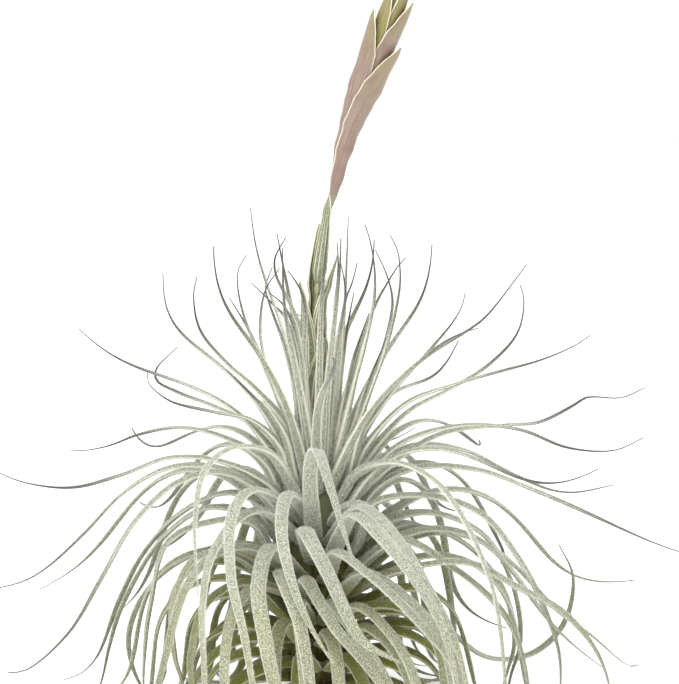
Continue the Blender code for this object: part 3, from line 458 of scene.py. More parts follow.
BRACT_WAVINESS = 0.05
BRACT_FOOT = 5.0 * MM
FOOT_GAP = 0.1 * MM
FOOT_THINNING = 0.7
VEINS_ACROSS = 14.0
VEIN_WAVES_ALONG = 3.0
PINK_BRACTS = 3
BRACT_PINK = (156, 136, 121)
BRACT_ROSE = (137, 112, 101)
BRACT_STRAW = (155, 143, 107)
BRACT_OLIVE = (122, 122, 44)
BRACT_SILVER = (157, 162, 139)
BRACT_GREEN = (114, 120, 86)
MARGIN_CREAM = (243, 239, 214)

# Each bract's start along the scape and its length, in millimetres, and then the way it faces, from the
# right towards the viewer, and how far it wraps to each side, in degrees.
SCAPE_BRACTS = [
    (3, 44, 60, 100), (13, 46, 285, 100), (24, 44, 150, 98),
    (38, 42, 20, 96), (53, 38, 235, 95), (68, 35, 100, 92),
]
SPIKE_BRACTS = [
    (99, 67, 24, 104), (111, 65, 158, 96), (123, 61, 20, 100),
    (134, 58, 162, 94), (141, 58, 26, 92), (148, 53, 154, 88),
]
Bract = namedtuple("Bract", "start length faces wrap points outline reach")
bracts = [
    Bract(start * MM, length * MM, faces, wrap, *rest)
    for rows, *rest in (
        (SCAPE_BRACTS, SCAPE_BRACT_POINTS, SCAPE_BRACT_OUTLINE, SCAPE_BRACT_REACH),
        (SPIKE_BRACTS, SPIKE_BRACT_POINTS, SPIKE_BRACT_OUTLINE, SPIKE_BRACT_REACH),
    )
    for start, length, faces, wrap in rows
]


def chord_fit(wrap, points):
    """How much a many-sided bract must grow for its flats to clear a round one inside it."""
    return 1.0 / math.cos(math.radians(wrap) / (points - 1))


def stack_radius(index, along):
    """Outer radius at a place on the axis of everything inside the bract with this index."""
    radius = core_radius(along) * SCAPE_FIT
    for inner in reversed(bracts[index + 1 :]):
        wrapped = (radius + GAP) * chord_fit(inner.wrap, inner.points) + BRACT_THICKNESS
        end = inner.start + inner.length
        present = eased(along, inner.start - BRACT_RAMP, inner.start)
        present *= 1.0 - eased(along, end, end + BRACT_RAMP)
        radius += (wrapped - radius) * present
    return radius


def bract_spread(index, share):
    """Half angle of a bract at a share of its length: clasping below, pointed above."""
    return math.radians(bracts[index].wrap) * np.interp(share, *zip(*bracts[index].outline))


def bract_radius(index, along):
    """Inner radius of a bract at a place on the axis."""
    bract = bracts[index]
    inner = (stack_radius(index, along) + GAP) * chord_fit(bract.wrap, bract.points)
    end = bract.start + bract.length
    return inner + bract.reach * eased(along, end - FREE_TIP_LENGTH, end)


def bract_rings(index, places, points):
    """A bract's rings of corners: its outside, then its inside back again. Its thin foot hugs the scape."""
    start, length, faces = bracts[index][:3]
    rings = []
    for along in places:
        wave = noise.noise(Vector((along / BRACT_WAVE, index, 0.0)))
        spread = bract_spread(index, (along - start) / length) * (1.0 + BRACT_WAVINESS * wave)
        full = 1.0 + NECK_FULLNESS * (1.0 - eased(along, *NECK))
        inner = bract_radius(index, along) * (FULL_SCAPE_BRACT if index < len(SCAPE_BRACTS) else full)
        hug = 1.0 - eased(along, start, start + BRACT_FOOT)
        inner -= hug * (inner - core_radius(along) - FOOT_GAP)
        angles = math.radians(faces) + np.linspace(-spread, spread, points)
        angles = np.concatenate([angles, angles[::-1][1:-1]])
        outer = inner + BRACT_THICKNESS * (1.0 - FOOT_THINNING * hug)
        radii = np.concatenate([np.full(points, outer), np.full(points - 2, inner)])
        rings.append(around_scape(along, angles, radii))
    return rings


def bract_stations(index):
    """Where along the axis the solid bract has its rings."""
    start, length = bracts[index][:2]
    first = math.ceil((start + 2.0 * MM) / BRACT_STATION)
    last = math.floor((start + length - 2.0 * MM) / BRACT_STATION)
    return [start] + [i * BRACT_STATION for i in range(first, last + 1)] + [start + length]


def bract_piece(index, name, material, slot, node):
    """One fine bract. Its marks say how far across and along it a corner is, and how far from its edge."""
    shares = np.linspace(0.0, 1.0, FINE_BRACT_STEPS)
    places = bracts[index].start + shares * bracts[index].length
    across = np.linspace(-1.0, 1.0, FINE_BRACT_POINTS)
    across = np.concatenate([across, across[::-1][1:-1]])
    reach = [bract_spread(index, s) * bract_radius(index, a) for s, a in zip(shares, places)]
    edge = np.outer(reach, 1.0 - np.abs(across)) / MM
    shape = new_form()
    marks = {"across": across[None, :], "along": shares[:, None], "edge": edge}
    loft(shape, bract_rings(index, places, FINE_BRACT_POINTS), marks)
    shown(name, shape, material, slot, node)


def veins_of(place, across, along):
    """Fine lines that run the length of a bract."""
    spot = place.node("ShaderNodeCombineXYZ", {"X": VEINS_ACROSS * across, "Y": VEIN_WAVES_ALONG * along})
    return spot.node("ShaderNodeTexNoise", {"Vector": spot, "Scale": 1.0, "Detail": 2.0})


def margin_of(edge, full_share):
    """1 on the papery margin, falling to 0 where the flesh of the bract starts."""
    return 1.0 - edge.step(full_share * MARGIN_WIDTH / MM, MARGIN_WIDTH / MM)


silver, place = finish("scape_bract_silver", Roughness=0.75)
across, edge = marks_of(place, "across", "edge")
flecks = place.noise(BRACT_FLECKS_PER_METRE, 2.0)
nerves = across.maths("COSINE", across * (NERVES * math.pi)).step(0.55, 0.95)
skin = (flecks + 0.2 * nerves).step(0.38, 0.68).mixed(tint(*BRACT_GREEN), tint(*BRACT_SILVER))
margin = margin_of(edge, 0.25)
margin.maths("MAXIMUM", margin, 0.75 * nerves).mixed(skin, tint(*MARGIN_CREAM)).feed("Base Color")
bumped(place, nerves, NERVE_DEPTH)

blush, place = finish("spike_bract_pink", Roughness=0.5)
along, across, edge = marks_of(place, "along", "across", "edge")
mottle = place.noise(BLUSH_PATCHES_PER_METRE, 2.0)
lines = veins_of(place, across, along)
pink = (lines + 0.5 * (mottle - 0.5)).step(0.3, 0.7).mixed(tint(*BRACT_ROSE), tint(*BRACT_PINK))
straw = (along + 0.3 * (mottle - 0.5)).step(0.6, 1.05).mixed(pink, tint(*BRACT_STRAW))
foot = (along + 0.1 * (lines - 0.5)).step(0.0, 0.1).mixed(tint(*BRACT_SILVER), straw)
margin_of(edge, 0.3).mixed(foot, tint(*MARGIN_CREAM)).feed("Base Color")
bumped(place, lines, VEIN_DEPTH)

olive, place = finish("spike_bract_olive", Roughness=0.5)
along, across, edge = marks_of(place, "along", "across", "edge")
lines = veins_of(place, across, along)
green = (0.7 * lines + 0.4 * along).step(0.35, 0.85).mixed(tint(*BRACT_OLIVE), tint(*BRACT_STRAW))
margin_of(edge, 0.3).mixed(green, tint(*MARGIN_CREAM)).feed("Base Color")
bumped(place, lines, VEIN_DEPTH)

for i in range(len(SCAPE_BRACTS)):
    bract_piece(i, f"clasping_bract_{i + 1}", silver, "scape_bract", f"scape_bract_{i + 1}")
for i in range(len(SPIKE_BRACTS)):
    look = blush if i < PINK_BRACTS else olive
    index = len(SCAPE_BRACTS) + i
    bract_piece(index, f"flower_bract_{i + 1}", look, "spike_bract", f"spike_bract_{i + 1}")

# The leaves: thirteen tiers, from the oldest at the bottom to the youngest in the heart. A leaf is a broad
# sheath on the stem, a fleshy channelled blade, and a tip as fine as a thread that curls where it likes.
TIER_COUNT = 13
LEAVES_IN_TIER = [8, 9, 12, 14, 15, 15, 14, 13, 13, 11, 13, 11, 10]
FIRST_TIER_HEIGHT = 24.0 * MM
LOWEST_PITCH = 9.8 * MM
TOP_PITCH = 5.5 * MM
COLLAR_RADIUS = 12.5 * MM
HEART_COLLAR_RADIUS = 5.4 * MM
COLLAR_STEP = 1.3 * MM
ROOT_DEPTH = 0.8 * MM
STRAIGHT_ROOT = 6.0 * MM
FIRST_BEND = 13.0 * MM
COLLAR_SIDES = 11
COLLAR_BEVEL = 0.8 * MM
COLLAR_BELOW = 0.42
GOLDEN_ANGLE = 137.5
SHEATH_LENGTH = 26.0 * MM
SHEATH_MIDDLE = 10.0 * MM
BROAD_SHEATH_LENGTH = 6.0 * MM
SHEATH_HALF_WIDTH = 6.0 * MM
HEART_SHEATH_HALF_WIDTH = 2.0 * MM
BLADE_HALF_WIDTH = 2.5 * MM
HEART_BLADE_HALF_WIDTH = 1.5 * MM
GROWING_TIERS = 5
YOUNG_TAPER = [(0.0, 1.0), (0.2, 0.97), (0.45, 0.8), (0.65, 0.54), (0.8, 0.32), (0.92, 0.19), (1.0, 0.14)]
OLD_TAPER = [(0.0, 1.0), (0.2, 1.0), (0.45, 0.93), (0.65, 0.79), (0.8, 0.58), (0.92, 0.34), (1.0, 0.14)]
YOUNG_TIER = 9.0
OLD_TIER = 6.5
ROOT_THICKNESS = 1.9 * MM
BLADE_THICKNESS = 2.3 * MM
THICK_SHARE = 0.5
TIP_THICKNESS = 0.62 * MM
BLADE_CUP = 0.5
LEAST_SHEATH_RISE = 12.0
MEASURED_LEAF_RINGS = 11
RULED_LEAF_RINGS = 8
FRONT_LEAF_SIDES = 4
LEAF_SIDES = 3
DENSE_POINTS = 80
BEND_WEIGHT = 22.0 * MM
LEAF_CLEARANCE = 0.4 * MM
TURN_SHIFT = 2.0
MOST_TURN = 72.0
DEPTH_SHIFT = 0.02
SHEATH_RINGS = 2
MOST_TRIALS = 60
COLLAR_TEST_SIDES = 18
TABLE_BEND = 24.0 * MM
TABLE_CLEARANCE = 0.5 * MM

# Leaves that show in the front view: tier, degrees that the leaf turns towards the viewer from the
# plane of the view, and the run from the heart to the tip, as millimetres (across, up) as seen.
SIDE_LEAVES = [
    (13, -62, [(-4.4, 142), (-5, 158), (-6.6, 168), (-10.6, 178), (-16.9, 191), (-17.4, 197),
        (-12.9, 206)]),
    (13, 60, [(-4.8, 142), (-5.6, 162), (-5, 174), (-6.2, 183), (-8.6, 188), (-12.2, 193)]),
    (13, -50, [(4, 138), (5.6, 160), (7, 177), (8, 190), (8, 198), (7.6, 204)]),
    (13, 55, [(4.4, 134), (8, 164), (10, 175), (11, 183), (10.3, 190), (9, 196)]),
    (13, -38, [(-6, 140), (-8.6, 160), (-13.2, 174), (-17.9, 179), (-21.5, 183), (-26.8, 188)]),
    (12, 40, [(-5.2, 136), (-6.4, 156), (-8.6, 166), (-11.2, 174), (-14.6, 180), (-19.5, 184)]),
    (13, 35, [(6.4, 148), (8.4, 164), (10, 174), (11.3, 182), (13.6, 188), (15.6, 196)]),
    (12, -35, [(8, 140), (11.2, 165), (12.6, 175), (14.3, 184)]),
    (12, 15, [(7.6, 126), (13.2, 154), (16.8, 166), (20.3, 176)]),
    (12, -22, [(-8, 138), (-14, 164), (-17.6, 174), (-19.9, 181), (-20.9, 186), (-18.2, 194)]),
    (12, 20, [(-9.2, 130), (-16, 142), (-21.8, 160), (-23.2, 170), (-20.9, 185), (-15, 194)]),
    (12, 25, [(8.8, 122), (15.2, 150), (18.6, 162), (22.6, 182), (22.6, 193), (20.9, 204), (18.8, 211)]),
    (12, -45, [(10.4, 134), (16.8, 162), (23.6, 180), (27.9, 188), (31.6, 194), (35, 198)]),
    (12, 5, [(13.6, 130), (17.6, 142), (22.4, 154), (27.2, 166)]),
    (11, 8, [(-9.2, 124), (-18.5, 151), (-27.2, 168), (-30.5, 178), (-32, 187), (-31.7, 193),
        (-28.5, 199)]),
    (11, 12, [(14.4, 126), (19.2, 140), (27.9, 164), (32.5, 185), (32.7, 193), (31.6, 201), (28.7, 207)]),
    (11, -18, [(14, 130), (25, 158), (29.8, 178), (29.2, 185), (26.6, 193), (22.8, 201)]),
    (11, -30, [(-11.2, 129), (-26.4, 147), (-35.8, 155), (-47.3, 169), (-49.7, 183), (-48.4, 190)]),
    (11, 20, [(-12.8, 126), (-19.2, 136), (-26.4, 143), (-36.5, 153)]),
    (11, -8, [(15.6, 124), (29.6, 144), (45.6, 162), (54.4, 173), (57.6, 179), (58.8, 184)]),
    (10, 20, [(19.6, 134), (35.6, 152), (45.6, 160), (58.4, 168), (66.6, 174), (78.6, 189), (83.1, 195)]),
    (10, -25, [(-14, 119), (-21, 128), (-40.4, 138), (-56.2, 144), (-64.8, 149), (-64.8, 153),
        (-56.2, 162)]),
    (10, 10, [(-14.4, 121), (-26.4, 133), (-40.4, 136), (-57.6, 140), (-64, 144), (-67.7, 148),
        (-68, 152)]),
    (10, -20, [(17.6, 116), (35.6, 136), (52, 145), (68.4, 155), (79.9, 168), (82.3, 181), (80.8, 187)]),
    (10, 5, [(19.6, 123), (35.6, 140), (53.8, 147), (71, 152), (88.8, 157), (102.8, 163), (108.8, 167)]),
    (9, -12, [(-20.4, 116), (-37.2, 126), (-55, 130), (-72.2, 127), (-83, 123), (-92.6, 121),
        (-99.3, 121)]),
    (9, -25, [(26, 113), (48, 127), (75.4, 131), (88.8, 132), (102.8, 139), (107.5, 142),
        (121.8, 142), (131, 146)]),
    (9, 5, [(19.6, 110), (33.6, 124), (58.4, 131), (81.2, 129), (99.6, 122), (118.6, 121), (130.2, 126)]),
    (9, 15, [(-18.4, 106), (-37.2, 116), (-59.4, 118), (-78.6, 111), (-97.7, 106), (-116.8, 108),
        (-130, 113)]),
    (8, -5, [(-21.6, 105), (-40.4, 114), (-59.4, 114), (-78, 104), (-93.2, 88), (-107.3, 75),
        (-116.8, 69), (-131, 65)]),
    (8, 18, [(-19.2, 100), (-37.6, 112), (-56.4, 108), (-73.6, 92), (-86.8, 69), (-99.6, 48),
        (-116.8, 33), (-124, 32)]),
    (8, -15, [(20.8, 108), (35.6, 122), (58.4, 121), (78.6, 111), (93.2, 105), (102.8, 104),
        (118.6, 107)]),
    (8, 8, [(23.6, 106), (39.6, 114), (64.6, 113), (86.2, 105), (109.2, 95), (134.4, 84), (147, 79.6)]),
    (7, 5, [(-16.4, 95), (-34, 104), (-53.2, 97), (-69, 81), (-79.2, 61), (-88, 39), (-94.4, 32),
        (-101.8, 29)]),
    (7, -20, [(-24.4, 94), (-43.6, 98), (-62.8, 85), (-78, 59), (-83.2, 43), (-86.8, 28), (-90, 8)]),
    (7, 10, [(21.6, 99), (41.6, 103), (64.8, 96), (81.2, 76), (92.6, 52), (96.4, 40), (97.2, 29),
        (96, 12)]),
    (7, -12, [(27.6, 93), (45.6, 96), (66.4, 87), (77.6, 68), (80.8, 44), (77.2, 31), (74, 14)]),
    (6, 12, [(-26.4, 92), (-44.4, 92), (-60.4, 84), (-67.2, 58), (-69.2, 42), (-70, 28), (-69, 10)]),
    (6, -25, [(-30.4, 83), (-50.4, 79), (-68.4, 65), (-75.6, 44), (-71.6, 28), (-64, 10)]),
    (6, -25, [(39.6, 90), (59.6, 83), (73.6, 66), (78.4, 44), (75.6, 32), (72, 12)]),
    (6, 20, [(33.6, 85), (55.6, 73), (69.6, 61), (76.8, 51), (82, 38), (86, 18)]),
    (5, 25, [(-36, 80), (-50, 77), (-57.8, 60), (-57, 38), (-54.4, 28), (-53, 8)]),
    (5, -28, [(33, 84), (50, 88), (66, 84), (79.6, 74), (95.2, 57), (109.1, 47), (125, 34), (128, 26)]),
    (5, 30, [(30, 72), (60, 76), (80, 66), (97.6, 56), (110.4, 42), (115.5, 31), (118, 18)]),
    (4, 35, [(-28.4, 68), (-44.4, 60), (-50.4, 38), (-50.4, 28), (-49, 8)]),
    (4, -35, [(40, 58), (68, 38), (87.5, 40), (99, 52), (102.1, 70), (96.4, 83)]),
]

# Leaves that come forwards: tier, how much wider than its neighbours, and the run from the heart to
# the tip, as millimetres (across, towards the viewer, up) as seen.
FRONT_LEAVES = [
    (10, 1.2, [(-12, 12, 106), (-18.4, 18, 119), (-34, 34, 122), (-45, 45, 113), (-49, 49, 92),
        (-48, 48, 62)]),
    (10, 1.2, [(15.6, 10, 112), (31.6, 18, 116), (46.4, 27, 109), (56.8, 34, 96), (69.6, 42, 66),
        (74.8, 46, 28), (76, 48, -6), (78, 56, -30)]),
    (9, 1.25, [(-27, 34, 105), (-34.6, 47, 95), (-35, 51, 72), (-29, 53, 45), (-24, 54, 10),
        (-24, 58, -25)]),
    (9, 1.3, [(-12.6, 34, 103), (-14.6, 50, 88), (-9, 60, 64), (0, 65, 45), (6.8, 67, 35)]),
    (9, 1.15, [(17, 24, 99), (27, 34, 90), (36, 42, 76), (45, 48, 60), (54, 53, 20), (56, 60, -25)]),
    (8, 1.2, [(-24, 28, 97), (-34, 36, 92), (-43, 42, 78), (-46, 45, 60), (-45, 46, 30), (-45, 52, -15)]),
    (8, 1.2, [(18.4, 30, 98), (31.6, 45, 86), (43.6, 54, 66), (55.4, 59, 42), (63, 62, 10)]),
    (8, 1.2, [(-3, 20, 104), (-3, 24, 114), (-0.6, 33, 121), (5.2, 50, 104), (14.4, 66, 76)]),
    (7, 1.2, [(14.6, 34, 95), (26, 52, 85), (38.4, 63, 69), (50, 71, 49), (58, 76, 16)]),
    (7, 1.4, [(-5, 40, 89), (3, 62, 73), (12.6, 76, 52), (18.4, 80, 44), (32.8, 88, 36)]),
    (6, 1.3, [(-19.6, 36, 82), (-24, 50, 66), (-20.4, 56, 42), (-14, 59, 10), (-13, 64, -25)]),
    (6, 1.2, [(8, 34, 80), (18.4, 46, 73), (31, 57, 61.6), (42.4, 65, 49), (54, 71, 34), (62, 76, 0)]),
    (5, 1.2, [(-15, 36, 72), (-12, 52, 64), (-7.6, 60, 52), (-4, 66, 30), (-1, 70, -20)]),
    (5, 1.2, [(19.6, 40, 72), (39.6, 62, 58), (54.4, 75, 36), (60, 82, -10)]),
    (5, 1.1, [(-26, 30, 66), (-34, 40, 56), (-37, 44, 40), (-36, 48, 0), (-38, 56, -24)]),
    (5, 1.2, [(-4.4, 36, 69), (2, 52, 58), (8, 62, 48), (18, 72, 36), (28, 80, 22), (36, 86, 4)]),
    (4, 1.15, [(-8, 38, 60), (-6, 52, 42), (-4, 58, 10), (-3, 64, -22)]),
    (4, 1.15, [(6, 36, 60), (12, 52, 52), (20, 64, 40), (30, 74, 22), (38, 82, -6)]),
    (4, 1.1, [(18, 36, 58), (34, 54, 40), (44, 64, 8), (50, 74, -24)]),
    (3, 1.1, [(-14, 34, 52), (-17, 46, 42), (-17, 54, 16), (-18, 62, -20)]),
    (3, 1.1, [(4, 36, 48), (7, 50, 40), (9, 60, 16), (10, 66, -22)]),
    (3, 1.1, [(20, 32, 50), (32, 44, 38), (40, 54, 12), (44, 62, -24)]),
    (2, 1.0, [(-6, 34, 38), (-8, 46, 28), (-8, 56, 2), (-9, 64, -22)]),
    (2, 1.0, [(12, 32, 38), (18, 44, 28), (22, 56, 0), (24, 64, -22)]),
]

# The front view shows every leaf of these tiers that stands this way, in degrees from the right.
SHOWN_TIERS = range(6, 11)
SHOWN_TURNS = range(45, 136, 15)

# Leaves that the front view doesn't show follow a rule. Each row is for one share of the way from the
# lowest tier to the heart: rise at the sheath, droop, upturn of the tip, all in degrees, and length.
LEAF_RULE = [
    (0.00, 2, 80, 30, 74.0 * MM),
    (0.17, 14, 98, 30, 98.0 * MM),
    (0.33, 30, 112, 34, 122.0 * MM),
    (0.50, 42, 112, 44, 142.0 * MM),
    (0.62, 50, 88, 36, 142.0 * MM),
    (0.75, 58, 56, 24, 122.0 * MM),
    (0.88, 70, 10, 16, 106.0 * MM),
    (1.00, 80, 2, 12, 92.0 * MM),
]
RISE_SPREAD = 5.0
DROOP_SPREAD = 9.0
UPTURN_SPREAD = 16.0
LENGTH_SPREAD = 0.07
SWEEP_SPREAD = 12.0
CURL_SPREAD = 30.0
STEEPEST_FALL = -85.0
STEEPEST_RISE = 88.0
TURN_SPREAD = 4.0
TURN_SPREAD_GROWTH = 0.5
SCAPE_SIDES = 8
SCAPE_RINGS = 14
BUD_SIDES = 8
BUD_RINGS = 8


def tier_heights():
    pitches = np.linspace(LOWEST_PITCH, TOP_PITCH, TIER_COUNT - 1)
    return FIRST_TIER_HEIGHT + np.concatenate([[0.0], np.cumsum(pitches)])


TIER_HEIGHTS = tier_heights()


def collar_radius(tier):
    """Outer radius of the collar of tier 1 to TIER_COUNT. The heart's collars step inwards."""
    return min(COLLAR_RADIUS, HEART_COLLAR_RADIUS + COLLAR_STEP * (TIER_COUNT - tier))


def rule_for(tier):
    """Rise, droop, upturn and length of a leaf of this tier."""
    share = (tier - 1) / (TIER_COUNT - 1)
    rows = np.array(LEAF_RULE)
    return [float(np.interp(share, rows[:, 0], rows[:, i])) for i in range(1, 5)]


def root_of(tier, turn):
    """The leaf's root inside its collar, and the way it leaves, for a turn in degrees from the right."""
    rise = math.radians(rule_for(tier)[0])
    height = TIER_HEIGHTS[tier - 1]
    radius = collar_radius(tier) - ROOT_DEPTH
    out = np.array([math.cos(math.radians(turn)), -math.sin(math.radians(turn)), 0.0])
    up = np.array([0.0, 0.0, 1.0])
    return out * radius + up * height, out * math.cos(rise) + up * math.sin(rise)


def walked(root, ways, stride):
    """The line from the root that takes one stride each way, and turns along the table, not into it."""
    places = [root]
    for way in ways:
        room = (places[-1][2] - TABLE_CLEARANCE) / TABLE_BEND
        down = max(way[2], -eased(room, 0.0, 1.0) ** 0.5)
        flat = np.array([way[0], way[1], 0.0])
        flat_length = np.linalg.norm(flat)
        ahead = flat / flat_length if flat_length > 0.05 else unit(np.array([root[0], root[1], 0.0]))
        step = ahead * math.sqrt(max(1.0 - down * down, 0.0)) + np.array([0.0, 0.0, down])
        places.append(places[-1] + step * stride)
    return np.array(places)


def measured_line(tier, run, trial):
    """A leaf measured in the front view. Later trials shift it in depth alone, which that view hides."""
    shift = (trial + 1) // 2 * (1 if trial % 2 else -1)
    places = [real_place(a * MM, u * MM, t * MM * (1.0 + DEPTH_SHIFT * shift)) for a, t, u in run]
    for place in places:
        place[2] = max(place[2], TABLE_CLEARANCE)
    turn = math.degrees(math.atan2(-places[0][1], places[0][0]))
    root, way = root_of(tier, turn)
    path = [root, root + way * STRAIGHT_ROOT]
    path += [p for p in places if np.linalg.norm(p - root) > FIRST_BEND]
    return smooth_through(path, DENSE_POINTS)


def side_line(tier, degrees, run, trial):
    """A leaf in an upright plane at `degrees` towards the viewer. Later trials turn it more or less."""
    shift = (trial + 1) // 2 * (1 if trial % 2 else -1)
    slope = math.tan(math.radians(np.clip(degrees + TURN_SHIFT * shift, -MOST_TURN, MOST_TURN)))
    return measured_line(tier, [(a, abs(a) * slope, u) for a, u in run], 0)


def ruled_line(tier, turn, slot, trial):
    """A leaf that follows LEAF_RULE, with its own seeded draw for each trial."""
    draw = np.random.default_rng([SEED, tier, slot, trial])
    rise, droop, upturn, length = rule_for(tier)
    rise += draw.normal(0.0, RISE_SPREAD)
    droop += draw.normal(0.0, DROOP_SPREAD)
    upturn += draw.normal(0.0, UPTURN_SPREAD)
    length *= 1.0 + draw.normal(0.0, LENGTH_SPREAD)
    sweep = draw.normal(0.0, SWEEP_SPREAD)
    curl = draw.normal(0.0, CURL_SPREAD)
    turn += draw.normal(0.0, TURN_SPREAD + TURN_SPREAD_GROWTH * trial)
    root, _ = root_of(tier, turn)
    share = (np.arange(DENSE_POINTS - 1) + 0.5) / (DENSE_POINTS - 1)
    tilt = rise - droop * eased(share, 0.06, 0.66) + upturn * eased(share, 0.66, 1.0)
    tilt = np.radians(np.clip(tilt, STEEPEST_FALL, STEEPEST_RISE))
    heading = np.radians(turn + sweep * eased(share, 0.1, 0.8) + curl * eased(share, 0.6, 1.0))
    steps = np.column_stack([
        np.cos(tilt) * np.cos(heading), -np.cos(tilt) * np.sin(heading), np.sin(tilt)
    ])
    return walked(root, steps, length / (DENSE_POINTS - 1))


def ring_places(line, count):
    """Where along the dense line the leaf's rings go, closer together where it bends, and its run."""
    run = run_of(line)
    ways = unit(np.diff(line, axis=0))
    bends = np.zeros(len(line))
    bends[1:-1] = np.arccos(np.clip(np.sum(ways[1:] * ways[:-1], axis=1), -1.0, 1.0))
    effort = np.cumsum(np.gradient(run) + BEND_WEIGHT * bends)
    effort = (effort - effort[0]) / (effort[-1] - effort[0])
    along = np.interp(np.linspace(0.0, 1.0, count), effort, run)
    along[1 + np.argmin(np.abs(along[1:-1] - SHEATH_MIDDLE))] = SHEATH_MIDDLE
    return along, run


def carried_frames(points, first_normal):
    """Tangent, side and normal at each point, with the normal carried along without twist."""
    tangents = unit(np.gradient(points, axis=0))
    normal = first_normal
    frames = []
    for tangent in tangents:
        normal = unit(normal - np.dot(normal, tangent) * tangent)
        frames.append((tangent, np.cross(tangent, normal), normal))
    return frames


def leaf_sizes(along, length, tier, wide):
    """Half width, thickness and cup of a leaf's section at a distance from its root."""
    age = min(1.0, ((TIER_COUNT - tier) / GROWING_TIERS) ** 2)
    sheath = HEART_SHEATH_HALF_WIDTH + (SHEATH_HALF_WIDTH - HEART_SHEATH_HALF_WIDTH) * age
    blade = (HEART_BLADE_HALF_WIDTH + (BLADE_HALF_WIDTH - HEART_BLADE_HALF_WIDTH) * age) * wide
    share = (along - SHEATH_LENGTH) / (length - SHEATH_LENGTH)
    old = eased(tier, YOUNG_TIER, OLD_TIER)
    young_taper, old_taper = [np.interp(share, *zip(*taper)) for taper in (YOUNG_TAPER, OLD_TAPER)]
    taper = young_taper + (old_taper - young_taper) * old
    narrowing = eased(along, BROAD_SHEATH_LENGTH, SHEATH_LENGTH)
    half_width = sheath + (blade * taper - sheath) * narrowing
    thick_until = SHEATH_LENGTH + THICK_SHARE * old * (length - SHEATH_LENGTH)
    thickness = np.interp(
        along,
        [0.0, SHEATH_LENGTH, thick_until, length],
        [ROOT_THICKNESS, BLADE_THICKNESS, BLADE_THICKNESS, TIP_THICKNESS],
    )
    rise = math.radians(max(rule_for(tier)[0], LEAST_SHEATH_RISE))
    sheath_cup = 0.5 * half_width / collar_radius(tier) * math.sin(rise)
    cup = sheath_cup + (BLADE_CUP - sheath_cup) * narrowing
    return half_width, thickness, cup * half_width * (1.0 - eased(share, 0.6, 0.95))


def leaf_frames(line, at, run):
    """The leaf's points and frames at these distances from its root."""
    inward = unit(np.array([-line[0][0], -line[0][1], 0.0]))
    points = at_run(at, run, line)
    return points, carried_frames(points, unit(inward + np.array([0.0, 0.0, 1.0])))


def solid_rings(line, leaf, grow):
    """The rings of the solid leaf: an edge, the keel, the other edge and, of four, the channel's bottom."""
    at, run = ring_places(line, leaf.rings)
    rings = []
    for point, along, (_, side, normal) in zip(at_run(at, run, line), at, leaf_frames(line, at, run)[1]):
        half_width, thickness, cup = leaf_sizes(along, run[-1], leaf.tier, leaf.wide)
        half_width, thickness = half_width + grow, thickness + 2.0 * grow
        ring = np.array([
            point - side * half_width + normal * cup,
            point - normal * thickness / 2.0,
            point + side * half_width + normal * cup,
            point + normal * thickness / 2.0,
        ][: leaf.sides])
        ring[:, 2] = np.maximum(ring[:, 2], 0.0)
        rings.append(ring)
    return rings


def tree_of(rings):
    """A search tree of the loft's sides, to see what crosses it."""
    if not rings:
        return BVHTree.FromPolygons([], [])
    count = len(rings[0])
    sides = [
        (r * count + i, r * count + (i + 1) % count, (r + 1) * count + (i + 1) % count, (r + 1) * count + i)
        for r in range(len(rings) - 1)
        for i in range(count)
    ]
    return BVHTree.FromPolygons([Vector(p) for p in np.vstack(rings)], sides)


def settle(leaf, standing):
    """The first trial of a leaf that is clear of all that stands.

    It may cross its own tier's sheaths, which it is joined to, but not its own tier's blades.
    """
    for trial in range(MOST_TRIALS):
        line = leaf.line_for(trial)
        rings = solid_rings(line, leaf, LEAF_CLEARANCE)
        whole, blade = tree_of(rings), tree_of(rings[SHEATH_RINGS:])
        crossings = sum(
            len(blade.overlap(other_blade) if owner == leaf.tier else whole.overlap(other))
            for owner, other, other_blade in standing
        )
        if crossings == 0:
            break
    return line


def widest_gap(turns):
    """The middle of the widest stretch of a circle, in degrees, that holds none of the turns."""
    turns = sorted(t % 360.0 for t in turns)
    gaps = [(b - a, (a + b) / 2.0) for a, b in zip(turns, turns[1:] + [turns[0] + 360.0])]
    return max(gaps)[1]


Leaf = namedtuple("Leaf", "tier wide rings sides line_for")


def leaf_plan():
    """Every leaf, the measured ones first. A ruled leaf stands in the widest gap of its tier."""
    plan = []
    turns = {tier: list(SHOWN_TURNS) if tier in SHOWN_TIERS else [] for tier in range(1, TIER_COUNT + 1)}
    for tier, wide, run in FRONT_LEAVES:
        turns[tier].append(math.degrees(math.atan2(run[0][1], run[0][0])))
        line_for = partial(measured_line, tier, run)
        plan.append(Leaf(tier, wide, MEASURED_LEAF_RINGS, FRONT_LEAF_SIDES, line_for))
    for tier, degrees, run in SIDE_LEAVES:
        turns[tier].append(degrees if run[0][0] > 0 else 180.0 - degrees)
        line_for = partial(side_line, tier, degrees, run)
        plan.append(Leaf(tier, 1.0, MEASURED_LEAF_RINGS, LEAF_SIDES, line_for))
    measured = [leaf.tier for leaf in plan]
    for tier in range(TIER_COUNT, 0, -1):
        for slot in range(LEAVES_IN_TIER[tier - 1] - measured.count(tier)):
            turn = widest_gap(turns[tier]) if turns[tier] else GOLDEN_ANGLE * tier
            turns[tier].append(turn)
            line_for = partial(ruled_line, tier, turn, slot)
            plan.append(Leaf(tier, 1.0, RULED_LEAF_RINGS, LEAF_SIDES, line_for))
    return plan


